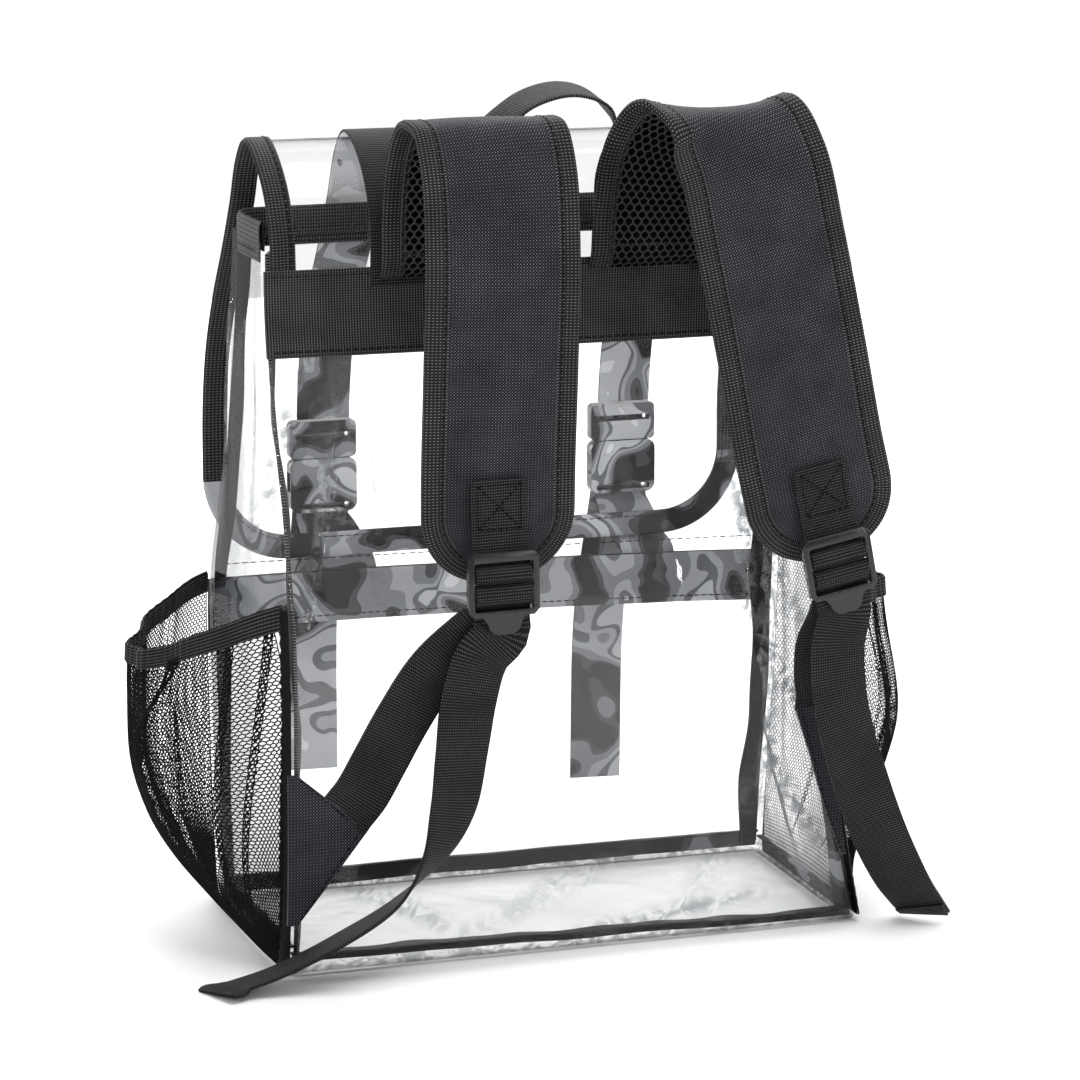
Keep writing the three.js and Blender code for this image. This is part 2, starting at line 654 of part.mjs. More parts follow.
// Binding tapes of the body
const tapeMiddle = -FILM - SEAM_GAP - TAPE.thick / 2;
const tapeEnd = SEAM_INSET + TAPE.width;
const seamBottom = WALL_BOTTOM + TAPE.thick + 2 * GAP;
const SEAMS = {
  seam_back_left: { wall: 'left', ends: [-tapeEnd, -SEAM_INSET] },
  seam_back_right: { wall: 'right', ends: [SEAM_INSET, tapeEnd] },
  seam_front_left: { wall: 'front', ends: [-tapeEnd, -SEAM_INSET] },
  seam_front_right: { wall: 'front', ends: [SEAM_INSET, tapeEnd] },
};
for (const [name, { wall, ends }] of Object.entries(SEAMS)) {
  addPiece(name, wallBand(wall, ends, seamBottom, rimBottom, tapeMiddle, TAPE.thick, 1, 12), 'tape');
}
for (const wall of ['back', 'front']) addPiece(`base_seam_${wall}`, footTape(wall, SEAM_INSET), 'tape');
for (const wall of ['left', 'right']) addPiece(`base_seam_${wall}`, footTape(wall, tapeEnd + GAP), 'tape');
addPiece('rim_binding', rimBinding(), 'tape');
const hemStand = (share, z) => pocketStand(share, z) + GAP;
const pocketHem = wallBand('front', wholeWidth, HEM.bottom, HEM.top, hemStand, TAPE.thick, 12, 2);
addPiece('pocket_hem', pocketHem, 'tape');

// Band across the back, and the carrying loop above it
const bandMiddle = 2 * GAP + WEBBING.thick / 2;
addPiece(
  'back_webbing',
  wallBand('back', wholeWidth, BACK_BAND.bottom, BACK_BAND.top, bandMiddle, WEBBING.thick, 6, 4), 'webbing',
);
addPiece('haul_handle', webbing(HANDLE_ROUTE, 26), 'webbing');

// Covering flap
const flapSurface = (x, along) => flapPoint(x, along, 0);
addPiece('flap_panel', tongueBody(FLAP, flapLength, flapSurface, 6, 24, FILM), 'vinyl');
addPiece('flap_binding', tongueBinding(FLAP, flapLength, flapSurface, 56, FLAP.bindingThick), 'tape');

// Shoulder straps
for (const [side, { lock, pad, run, tail }] of Object.entries(SHOULDERS)) {
  const coverOffset = (PAD.lining.middle + GAP) / 2;
  const liningOffset = coverOffset - PAD.cover.middle / 2 - BINDING_GAP - PAD.lining.middle / 2;
  const cover = padSurface(pad, coverOffset);
  const lining = padSurface(pad, liningOffset);
  const trim = padSurface(pad, 0);
  const padLayer = (layer, size) => tongueBody(PAD, layer.length, layer.point, 4, 22, padThickness(size));
  addPiece(`${side}_pad_cover`, padLayer(cover, PAD.cover), 'canvas');
  addPiece(`${side}_pad_lining`, padLayer(lining, PAD.lining), 'mesh');
  addPiece(`${side}_pad_binding`, tongueBinding(PAD, trim.length, trim.point, 44, PAD.bindingThick), 'tape');
  addPiece(`${side}_pad_tab`, webbing(atLock(lock, TAB_THREAD), 18), 'webbing');
  addPiece(`${side}_ladder_lock`, ladderLock(), 'plastic', [lock.x, LOCK.plane, lock.z], lock.tilt);
  addPiece(`${side}_adjuster_strap`, webbing([...run, ...atLock(lock, LOCK_THREAD), ...tail], 69), 'webbing');
  addPiece(`${side}_strap_anchor`, strapAnchor(side), 'canvas');
}

// Front closing straps
const strapStand = FILM / 2 + 5 * GAP + WEBBING.thick / 2;
const strapEnd = flapReach(FLAP_STRAP.bottom);
const hemFace = 5 * GAP + TAPE.thick + WEBBING.thick / 2;
const socketFoot = BUCKLE.joint - BUCKLE.socket.height;
const flapFoot = FLAP_PROFILE.at(-1);
const clearOfFlap = flapFoot.y + (FLAP.bindingThick + WEBBING.thick) / 2 + 7 * GAP;
const tailPlane = BUCKLE.plane + BUCKLE.thick / 2 + GAP + WEBBING.thick / 2;

// Point on the face of the pocket hem at a sideways place and a height
function onHem(x, z) {
  const right = corner('frontRight', z).x;
  const share = (right - x) / (right - corner('frontLeft', z).x);
  return wallPoint('front', share, z, pocketStand(share, z) + hemFace);
}

for (const [side, { sign, lowerLean, tailDrift, tailBottom }] of Object.entries(FRONT_STRAPS)) {
  const strapX = sign * FLAP_STRAP.offset;
  const overFlap = (u, v) => {
    const along = lerp(FLAP_STRAP.top, strapEnd, v);
    return flapPoint(strapX + (u - 0.5) * WEBBING.width, along, strapStand);
  };
  const buckleX = strapX + FLAP.drift * strapEnd / flapLength;
  const buckleAt = [buckleX, BUCKLE.plane, BUCKLE.joint];
  addPiece(`${side}_flap_strap`, sheet(1, 22, overFlap, WEBBING.thick), 'webbing');
  addPiece(`${side}_buckle_prong`, buckleProng(), 'plastic', buckleAt);
  addPiece(`${side}_buckle_socket`, buckleSocket(), 'plastic', buckleAt);

  const footX = buckleX + lowerLean;
  const hemTop = onHem(footX, HEM.top);
  const hemSlope = onHem(footX + 1, HEM.top).sub(hemTop).normalize().toArray();
  const lowerRoute = [
    { x: buckleX, y: BUCKLE.plane, z: socketFoot - 2 * GAP, across: X_AXIS },
    { x: buckleX, y: BUCKLE.plane - 1, z: socketFoot - 5, across: X_AXIS },
    { x: buckleX + lowerLean * 0.3, y: BUCKLE.plane - 4, z: socketFoot - 13, across: X_AXIS },
    { x: buckleX + lowerLean * 0.7, y: Math.max(clearOfFlap, hemTop.y + 2), z: flapFoot.z, across: X_AXIS },
    { x: footX, y: hemTop.y, z: HEM.top, across: hemSlope },
    { x: footX, y: onHem(footX, HEM.bottom).y, z: HEM.bottom, across: hemSlope },
  ];
  addPiece(`${side}_lower_webbing`, webbing(lowerRoute, 10), 'webbing');

  const tailRoute = [
    { x: buckleX, y: tailPlane, z: BUCKLE.joint + 15, across: X_AXIS },
    { x: buckleX, y: tailPlane, z: BUCKLE.joint - 20, across: X_AXIS },
    { x: buckleX + tailDrift * 0.75, y: tailPlane + 2, z: (BUCKLE.joint + tailBottom) / 2, across: X_AXIS },
    { x: buckleX + tailDrift, y: tailPlane - 1, z: tailBottom, across: X_AXIS },
  ];
  addPiece(`${side}_strap_tail`, webbing(tailRoute, 5), 'webbing');
}

// Side pockets
for (const side of ['left', 'right']) {
  addPiece(`${side}_mesh_pocket`, meshBand(side, 0, ELASTIC.from - ELASTIC.gap, 6, MESH.thick), 'mesh');
  addPiece(`${side}_pocket_elastic`, meshBand(side, ELASTIC.from, 1, 1, ELASTIC.thick), 'tape');
}

export default backpack;
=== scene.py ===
"""Clear vinyl backpack with black trim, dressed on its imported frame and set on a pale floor.

Sizes and tables are in millimetres, as the bag's pattern is drawn. Meshes are in metres.
"""
import logging
import math
from dataclasses import dataclass
from enum import Enum
from typing import Callable, Iterable, Sequence

import bpy
import numpy as np
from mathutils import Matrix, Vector, noise


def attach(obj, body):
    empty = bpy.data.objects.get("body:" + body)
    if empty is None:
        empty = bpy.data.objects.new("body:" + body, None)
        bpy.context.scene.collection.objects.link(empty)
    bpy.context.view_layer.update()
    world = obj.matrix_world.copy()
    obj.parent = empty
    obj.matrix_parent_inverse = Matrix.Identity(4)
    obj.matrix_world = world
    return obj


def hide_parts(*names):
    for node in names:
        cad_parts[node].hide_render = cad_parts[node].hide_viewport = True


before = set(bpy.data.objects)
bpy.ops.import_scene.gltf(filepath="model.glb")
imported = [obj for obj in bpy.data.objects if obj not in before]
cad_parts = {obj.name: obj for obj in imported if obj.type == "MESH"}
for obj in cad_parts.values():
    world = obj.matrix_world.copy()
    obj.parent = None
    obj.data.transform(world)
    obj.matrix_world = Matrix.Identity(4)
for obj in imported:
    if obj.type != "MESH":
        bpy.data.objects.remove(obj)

MM = 0.001
TURN = 2 * math.pi
# Mesh attribute with how much painted reflection each point of a film wall gets
FOLD_REFLECTION_PAINT = "fold"
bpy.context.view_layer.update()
LOG = logging.getLogger("backpack")
Array = np.ndarray
Piece = bpy.types.Object
Tree = bpy.types.NodeTree
Socket = bpy.types.NodeSocket
Place = Callable[[Array, Array], Array]


# Lines and surfaces

def unit(vectors: Array) -> Array:
    """Vectors brought to length one."""
    return vectors / np.maximum(np.linalg.norm(vectors, axis=-1, keepdims=True), 1e-9)


def lerp(start: Array, end: Array, share: Array) -> Array:
    """Value a share of the way from start to end."""
    return start + (end - start) * share


def ease(low: float, high: float, values: Array) -> Array:
    """Smooth step from 0 at low to 1 at high."""
    share = np.clip((values - low) / (high - low), 0, 1)
    return share * share * (3 - 2 * share)


def lengths(points: Array) -> Array:
    """Length along a row of points, at each of them."""
    return np.concatenate([[0.0], np.cumsum(np.linalg.norm(np.diff(points, axis=0), axis=1))])


def facing_y(sign: float, count: int) -> Array:
    """A number of equal normals along the y axis."""
    return np.tile([0.0, sign, 0.0], (count, 1))


def uneven(across: Array, along: Array, size: float, seed: float) -> Array:
    """Smooth chance unevenness of a surface.

    Args:
        across: Places one way, in millimetres.
        along: Places the other way, in millimetres.
        size: Width of a bump, in millimetres.
        seed: Which chance pattern is taken.

    Returns:
        A height from about -1 to 1 at each place.
    """
    spots = zip(np.ravel(across) / size, np.ravel(along) / size)
    return np.array([noise.noise(Vector((x, y, seed))) for x, y in spots])


class Table:
    """Smooth lines through the rows of a table, read at any place of its first column."""

    def __init__(self, rows: Sequence[Sequence[float]]) -> None:
        """Keeps the rows, first column rising."""
        self.rows = np.array(rows, float)

    def at(self, places: Array) -> Array:
        """Reads the other columns.

        Args:
            places: Places in the first column.

        Returns:
            One row of values for each place.
        """
        keys, values = self.rows[:, 0], self.rows[:, 1:]
        places = np.clip(np.atleast_1d(places), keys[0], keys[-1])
        after = np.clip(np.searchsorted(keys, places, side="right"), 1, len(keys) - 1)
        before = after - 1
        first = np.where(before > 0, before - 1, after)
        last = np.where(after < len(keys) - 1, after + 1, before)
        span = keys[after] - keys[before]
        lead = (0.5 * span / (keys[before] - keys[first]))[:, None]
        trail = (0.5 * span / (keys[last] - keys[after]))[:, None]
        p = ((places - keys[before]) / span)[:, None]
        return (
            values[first] * lead * (-p**3 + 2 * p**2 - p)
            + values[before] * ((1 + lead) * p**3 - (1.5 + 2 * lead) * p**2 + (lead - 0.5) * p + 1)
            + values[after] * (-(1 + trail) * p**3 + (1.5 + trail) * p**2 + 0.5 * p)
            + values[last] * trail * (p**3 - p**2)
        )


class Route:
    """Smooth line through points, measured along its length."""

    def __init__(self, points: Sequence[Sequence[float]]) -> None:
        """Keeps the points and measures the line."""
        self.points = np.array(points, float)
        self.knots = np.linspace(0, 1, 601)
        self.reach = lengths(self.at(self.knots))
        self.length = float(self.reach[-1])

    def turn(self, along: Array) -> Array:
        """The line's own parameter at a length along it."""
        return np.interp(along, self.reach, self.knots)

    def at(self, parameter: Array) -> Array:
        """Points of the line.

        Args:
            parameter: Places from 0 to 1, even from point to point.

        Returns:
            One point for each place.
        """
        points = self.points
        place = np.clip(parameter, 0, 1) * (len(points) - 1)
        index = np.minimum(place.astype(int), len(points) - 2)
        w = (place - index)[:, None]
        longer = np.vstack([2 * points[0] - points[1], points, 2 * points[-1] - points[-2]])
        a, b, c, d = (longer[index + step] for step in range(4))
        gaps = [np.linalg.norm(far - near, axis=1, keepdims=True) for near, far in ((a, b), (b, c), (c, d))]
        g0, g1, g2 = (np.sqrt(np.maximum(gap, 1e-4)) for gap in gaps)
        start = ((b - a) / g0 - (c - a) / (g0 + g1) + (c - b) / g1) * g1
        end = ((c - b) / g1 - (d - b) / (g1 + g2) + (d - c) / g2) * g1
        return b + start * w + (3 * (c - b) - 2 * start - end) * w**2 + (2 * (b - c) + start + end) * w**3

    def heading(self, parameter: Array) -> Array:
        """Direction of the line at places from 0 to 1."""
        step = 1e-4
        return unit(self.at(np.clip(parameter + step, 0, 1)) - self.at(np.clip(parameter - step, 0, 1)))


class Outline:
    """Edge of a tongue in the flat: a strip with a rounded free end, from root corner to root corner."""

    def __init__(self, root_half: float, half: float, widest: float, corner: float, tongue: float) -> None:
        """Draws the edge of a tongue of a given length as a close row of points."""
        self.root_half, self.half, self.widest = root_half, half, widest
        self.corner, self.tongue = corner, tongue
        bend = np.linspace(0, math.pi / 2, 40)
        rounded = [corner - half - corner * np.cos(bend), tongue - corner + corner * np.sin(bend)]
        left = np.vstack([[[-root_half, 0], [-half, widest]], np.stack(rounded, 1)])
        self.points = np.vstack([left, left[::-1] * [-1, 1]])
        self.reach = lengths(self.points)
        self.length = float(self.reach[-1])

    def inset(self, share: Array, depth: Array) -> tuple[Array, Array]:
        """Flat places at a depth inside the edge.

        Args:
            share: Places from 0 to 1 along the edge.
            depth: Distances inside the edge.

        Returns:
            Place across and place along the tongue.
        """
        along = share * self.length
        spot, step = self._spot(along), 2.0
        tangent = unit(self._spot(along + step) - self._spot(along - step))
        return spot[:, 0] + tangent[:, 1] * depth, spot[:, 1] - tangent[:, 0] * depth

    def half_at(self, along: Array, inset: float) -> Array:
        """Half width at lengths from the root, kept a distance inside the edge."""
        bend = np.maximum(along - (self.tongue - self.corner), 0)
        rounded = self.half - self.corner + np.sqrt(np.maximum((self.corner - inset) ** 2 - bend**2, 0))
        straight = lerp(self.root_half, self.half, np.minimum(along / self.widest, 1)) - inset
        return np.where(bend > 0, rounded, straight)

    def _spot(self, along: Array) -> Array:
        """Points of the edge at lengths along it."""
        along = np.clip(along, 0, self.length)
        return np.stack([np.interp(along, self.reach, self.points[:, k]) for k in (0, 1)], 1)


def folded(width: float, thick: float, u: Array) -> tuple[Array, Array]:
    """Section of a tape folded over an edge.

    Args:
        width: How far each leg reaches inwards.
        thick: Thickness over both legs.
        u: Places from 0 to 1 round the section, outer leg first.

    Returns:
        Depth inside the edge and height over the middle surface.
    """
    radius = thick / 2
    leg = width - radius
    along = u * (2 * leg + math.pi * radius)
    angle = np.clip((along - leg) / radius, 0, math.pi)
    on_first = np.clip(along, 0, leg)
    on_last = np.clip(along - leg - math.pi * radius, 0, leg)
    depth = width - on_first - radius * np.sin(angle) + on_last
    return depth, radius * np.cos(angle)


# Bag pattern

class Side(Enum):
    """Sides of the bag, as the photograph shows it."""

    LEFT = "left"
    RIGHT = "right"


class Corner(Enum):
    """Upright corner lines: side table and its first column."""

    BACK_LEFT = ("left", 0)
    BACK_RIGHT = ("right", 0)
    FRONT_RIGHT = ("right", 2)
    FRONT_LEFT = ("left", 2)


class Wall(Enum):
    """Walls of the body: first and last corner, seen from outside, and belly in millimetres."""

    BACK = (Corner.BACK_LEFT, Corner.BACK_RIGHT, 3.0)
    RIGHT = (Corner.BACK_RIGHT, Corner.FRONT_RIGHT, 5.0)
    FRONT = (Corner.FRONT_RIGHT, Corner.FRONT_LEFT, 3.0)
    LEFT = (Corner.FRONT_LEFT, Corner.BACK_LEFT, 5.0)


MOUTH_HEIGHT = 392.0
MID_HEIGHT = 150.0
GAP = 0.3
FILM = 0.6
STRAP_WIDTH = 30.0
STRAP_THICK = 1.7
STRAP_EDGE = 0.45
TAPE_CLOTH = 0.8
TAPE_EDGE = 0.25

# Height, back corner x and y, front corner x and y
CORNER_LINES = {
    "left": Table([
        (0, -160, -75, -160, 79), (55, -160, -82, -160, 85), (110, -160, -84, -160, 89),
        (180, -160, -83, -160, 89), (240, -160, -69, -160, 61), (300, -160, -47, -160, 44),
        (345, -160, -38, -160, 34), (392, -160, -38, -160, 25),
    ]),
    "right": Table([
        (0, 160, -75, 160, 76), (55, 148, -79, 162, 74), (110, 140, -81, 164, 70),
        (180, 138, -80, 165, 67), (240, 141, -69, 163, 55), (300, 147, -48, 160, 43),
        (345, 152, -38, 158, 34), (392, 155, -38, 156, 25),
    ]),
}


def corner_at(corner: Corner, z: Array) -> Array:
    """Plan place of a corner line at heights z."""
    side, column = corner.value
    return CORNER_LINES[side].at(z)[:, column:column + 2]


def wall_length(wall: Wall, z: Array) -> Array:
    """Distance between a wall's two corners at heights z."""
    first, last, _ = wall.value
    return np.linalg.norm(corner_at(last, z) - corner_at(first, z), axis=1)


def wall_point(wall: Wall, share: Array, z: Array, outwards: Array) -> Array:
    """Points on a wall of the body.

    Args:
        wall: The wall.
        share: Places from its first corner, 0, to its last, 1.
        z: Heights.
        outwards: Distances outside the wall's own surface.

    Returns:
        One point for each place.
    """
    first, last, belly = wall.value
    start = corner_at(first, z)
    chord = corner_at(last, z) - start
    normal = unit(np.stack([chord[:, 1], -chord[:, 0]], 1))
    swell = belly * np.sin(math.pi * share) * np.sin(math.pi * np.clip(z / MOUTH_HEIGHT, 0, 1))
    plan = start + chord * share[:, None] + normal * (outwards + swell)[:, None]
    return np.column_stack([plan, z])


# Mesh making

def select_only(piece: Piece) -> None:
    """Selects one object and makes it the active one."""
    bpy.ops.object.select_all(action="DESELECT")
    piece.select_set(True)
    bpy.context.view_layer.objects.active = piece


def modify(piece: Piece, kind: str, **settings: object) -> None:
    """Adds a modifier with its settings and applies it.

    Args:
        piece: The object.
        kind: Blender's name of the modifier.
        settings: Values of its properties.
    """
    select_only(piece)
    modifier = piece.modifiers.new(kind.title(), kind)
    for name, value in settings.items():
        setattr(modifier, name, value)
    bpy.ops.object.modifier_apply(modifier=modifier.name)


def smooth(piece: Piece, degrees: float = 40) -> None:
    """Shades a piece smooth, apart from edges sharper than an angle."""
    select_only(piece)
    bpy.ops.object.shade_smooth_by_angle(angle=math.radians(degrees))


def bent_grid(
    name: str, cells: tuple[int, int], place: Place, size: tuple[float, float] | None, turned: bool = False
) -> Piece:
    """Grid primitive bent onto a surface, with a UV map that is the flat cloth in metres.

    Args:
        name: Name of the piece.
        cells: Faces across and along.
        place: Points in millimetres for places from 0 to 1 across and along.
        size: Width and length of the flat cloth, or None where it is cut to the shape seen from behind.
        turned: Whether the cloth's length runs across the grid.

    Returns:
        The new object.
    """
    bpy.ops.object.select_all(action="DESELECT")
    bpy.ops.mesh.primitive_grid_add(x_subdivisions=cells[0], y_subdivisions=cells[1], size=1.0)
    piece = bpy.context.object
    piece.name = piece.data.name = name
    mesh = piece.data
    flat = np.empty(len(mesh.vertices) * 3, np.float32)
    mesh.vertices.foreach_get("co", flat)
    u, v = np.clip(flat.reshape(-1, 3).astype(float)[:, :2] + 0.5, 0, 1).T
    points = place(u, v)
    mesh.vertices.foreach_set("co", (points * MM).astype(np.float32).ravel())
    corners = np.empty(len(mesh.loops), np.int32)
    mesh.loops.foreach_get("vertex_index", corners)
    if size is None:
        cloth = points[:, [0, 2]] * MM
    else:
        cloth = np.column_stack([v, u] if turned else [u, v]) * size * MM
    mesh.uv_layers[0].data.foreach_set("uv", cloth[corners].astype(np.float32).ravel())
    mesh.update()
    return piece


def joined_copies(name: str, template: Piece, frames: Array) -> Piece:
    """One mesh of many copies of a small shape.

    Args:
        name: Name of the new piece.
        template: The small shape, which is removed.
        frames: For each copy a 3 by 4 matrix in metres: its three axes and its place.

    Returns:
        The new object.
    """
    points = np.array([vertex.co for vertex in template.data.vertices])
    faces = [list(face.vertices) for face in template.data.polygons]
    bpy.data.meshes.remove(template.data)
    placed = np.einsum("nij,vj->nvi", frames[:, :, :3], points) + frames[:, None, :, 3]
    count = len(points)
    every = [[index + copy * count for index in face] for copy in range(len(frames)) for face in faces]
    mesh = bpy.data.meshes.new(name)
    mesh.from_pydata(placed.reshape(-1, 3).tolist(), [], every)
    piece = bpy.data.objects.new(name, mesh)
    bpy.context.scene.collection.objects.link(piece)
    smooth(piece, 60)
    return piece


def sew(name: str, line: Array, normals: Array, pitch: float = 4.2) -> None:
    """Makes a row of lock stitches along a line.

    Args:
        name: Name of the piece.
        line: Close points of the line in millimetres.
        normals: Surface normals at those points.
        pitch: Distance from stitch to stitch in millimetres.
    """
    wide, tall, filled = 0.75, 0.6, 0.86
    bpy.ops.object.select_all(action="DESELECT")
    bpy.ops.mesh.primitive_uv_sphere_add(segments=6, ring_count=4, radius=0.5)
    template = bpy.context.object
    reach = lengths(line)
    middles = np.arange(pitch / 2, reach[-1], pitch)

    def read(values: Array, spots: Array) -> Array:
        """Values along the line at lengths."""
        return np.stack([np.interp(spots, reach, values[:, k]) for k in range(3)], 1)

    along = unit(read(line, middles + 1) - read(line, middles - 1))
    up = read(normals, middles)
    up = unit(up - along * np.sum(up * along, 1, keepdims=True))
    axes = [np.cross(up, along) * wide, up * tall, along * pitch * filled]
    frames = np.stack([*axes, read(line, middles)], 2) * MM
    dress(joined_copies(name, template, frames), [THREAD])


# Finishes

def linear(colour: str) -> tuple[float, float, float, float]:
    """Linear colour of an sRGB hex value."""
    parts = [int(colour[k:k + 2], 16) / 255 for k in (1, 3, 5)]
    return (*(c / 12.92 if c <= 0.04045 else ((c + 0.055) / 1.055) ** 2.4 for c in parts), 1.0)


def add(tree: Tree, kind: str, links: dict | None = None, **settings: object) -> bpy.types.Node:
    """Adds a node with its settings and links.

    Args:
        tree: The material's node tree.
        kind: Blender's type of the node, after its first word.
        links: For each input socket a value or the output socket that feeds it.
        settings: Values of the node's properties.

    Returns:
        The new node.
    """
    made = tree.nodes.new("ShaderNode" + kind)
    for name, value in settings.items():
        setattr(made, name, value)
    for socket, source in (links or {}).items():
        if isinstance(source, Socket):
            tree.links.new(source, made.inputs[socket])
        else:
            made.inputs[socket].default_value = source
    return made


def maths(tree: Tree, operation: str, *values: Socket | float) -> Socket:
    """Result of a sum on up to three values."""
    return add(tree, "Math", dict(enumerate(values)), operation=operation).outputs[0]


def blend(tree: Tree, share: Socket, first: Socket | tuple, second: Socket | tuple) -> Socket:
    """Colour a share of the way from the first to the second."""
    return add(tree, "Mix", {"Factor": share, "A": first, "B": second}, data_type="RGBA").outputs["Result"]


def scaled(tree: Tree, colour: Socket | tuple, share: Socket) -> Socket:
    """Colour made lighter or darker."""
    return add(tree, "VectorMath", {0: colour, "Scale": share}, operation="SCALE").outputs[0]


def overlaid(tree: Tree, share: Socket, under: Socket, over: Socket) -> Socket:
    """Shader with a share of another one over it."""
    return add(tree, "MixShader", {0: share, 1: under, 2: over}).outputs[0]


def spot_on(tree: Tree) -> Socket:
    """Place on the bag, in metres."""
    return add(tree, "TexCoord").outputs["Object"]


def height_on(tree: Tree) -> Socket:
    """Height over the ground, in metres."""
    return add(tree, "SeparateXYZ", {0: spot_on(tree)}).outputs["Z"]


def speckle(
    tree: Tree, size_mm: float, detail: float = 2.0, roughness: float = 0.5, distortion: float = 0.0
) -> Socket:
    """Chance pattern over the bag, from 0 to 1.

    Args:
        tree: The material's node tree.
        size_mm: Size of its largest spots.
        detail: How many times it is repeated smaller.
        roughness: How strong each smaller repeat is.
        distortion: How far its spots are swirled.

    Returns:
        The pattern's value.
    """
    return add(tree, "TexNoise", {
        "Vector": spot_on(tree), "Scale": 1 / (size_mm * MM), "Detail": detail, "Roughness": roughness,
        "Distortion": distortion,
    }).outputs["Fac"]


def mapped(
    tree: Tree, value: Socket, source: tuple[float, float] = (0, 1), target: tuple[float, float] = (0, 1)
) -> Socket:
    """Value brought from one span to another and kept inside it."""
    return add(tree, "MapRange", {
        "Value": value, "From Min": source[0], "From Max": source[1],
        "To Min": target[0], "To Max": target[1],
    }).outputs[0]


def bumped(tree: Tree, height: Socket, strength: float, distance_mm: float = 0.1) -> Socket:
    """Normal of a surface with small heights on it."""
    links = {"Height": height, "Strength": strength, "Distance": distance_mm * MM}
    return add(tree, "Bump", links).outputs[0]


class Weave(Enum):
    """How a cloth is woven: weight of the ribs across it, of the threads along it, and of their product."""

    RIBBED = (0.4, 0.05, 0.55)
    PLAIN = (0.1, 0.1, 0.8)
    LENGTHWISE = (0.0, 0.8, 0.2)


@dataclass(frozen=True)
class Finish:
    """A finish with a name and its own nodes."""

    name: str

    def material(self) -> bpy.types.Material:
        """The finish's material, made the first time that it is asked for."""
        found = bpy.data.materials.get(self.name)
        if found is None:
            found = bpy.data.materials.new(self.name)
            found.use_nodes = True
            found.node_tree.nodes.clear()
            add(found.node_tree, "OutputMaterial", {"Surface": self.shade(found.node_tree)})
        return found

    def shade(self, tree: Tree) -> Socket:
        """The shader that the finish ends in."""
        raise NotImplementedError


@dataclass(frozen=True)
class ClearVinyl(Finish):
    """Calendered clear vinyl: lets nearly all light through, mirrors lamps in its folds, hazes a little."""

    tint: str = "#fefefe"
    depth_and_reflection_tint: str = "#7d8184"
    bead_mm: float = 24.0
    painted_fold_tint: str = "#a4a8ab"
    haze_and_highlight_tint: str = "#f4f5f6"
    haze: float = 0.005
    painted_fold_highlight: float = 0.12
    mirror: float = 0.011
    grazing: float = 0.13
    roughness: float = 0.025
    wave_mm: float = 26.0
    wave_height_mm: float = 1.6
    streak_mm: float = 11.0

    def shade(self, tree: Tree) -> Socket:
        """See-through film under a mirror gloss that slow waves in the sheet bend."""
        normal = bumped(tree, speckle(tree, self.wave_mm, 2.0, 0.45, 0.6), 0.35, self.wave_height_mm)
        slant = add(tree, "LayerWeight", {"Blend": 0.5, "Normal": normal}).outputs["Facing"]
        # Film seen at a glancing angle, along a fold or rolled edge, is greyed: partly for the longer path
        # through the film, partly as a painted dark reflection
        depth = blend(tree, maths(tree, "POWER", slant, 4.0), linear(self.tint), linear(self.depth_and_reflection_tint))
        # Sharp folds, marked on the mesh, get broken streaks of painted reflection: a grey tint, and a
        # painted white highlight in the film's haze
        fold = add(tree, "Attribute", attribute_name=FOLD_REFLECTION_PAINT).outputs["Fac"]
        broken = mapped(tree, speckle(tree, self.streak_mm, 3.0, 0.6, 1.6), (0.42, 0.6))
        painted_fold_reflection = maths(tree, "MULTIPLY", fold, broken)
        tone = blend(tree, painted_fold_reflection, depth, linear(self.painted_fold_tint))
        edge = add(tree, "BsdfTransparent", {"Color": tone}).outputs[0]
        haze_and_highlight = add(tree, "BsdfDiffuse", {"Color": linear(self.haze_and_highlight_tint)}).outputs[0]
        film = overlaid(tree, maths(tree, "MULTIPLY_ADD", painted_fold_reflection, self.painted_fold_highlight, self.haze), edge, haze_and_highlight)
        gloss = add(tree, "BsdfGlossy", {
            "Color": linear("#ffffff"), "Roughness": self.roughness, "Normal": normal,
        }).outputs[0]
        rise = maths(tree, "POWER", slant, 6.0)
        mirror = maths(tree, "MULTIPLY_ADD", rise, self.grazing - self.mirror, self.mirror)
        sheet = overlaid(tree, mirror, film, gloss)
        # The rolled foot of a wall is several layers deep, so it alone keeps light off the ground
        bead = self.bead_mm * MM
        open_share = mapped(tree, height_on(tree), (bead / 2, bead), (0.05 if bead else 1.0, 1.0))
        clear = add(tree, "BsdfTransparent", {"Color": open_share}).outputs[0]
        # Light that falls through the film onto other things is hardly dimmed
        path = add(tree, "LightPath").outputs
        passing = maths(tree, "MAXIMUM", path["Is Shadow Ray"], path["Is Diffuse Ray"])
        return overlaid(tree, passing, sheet, clear)


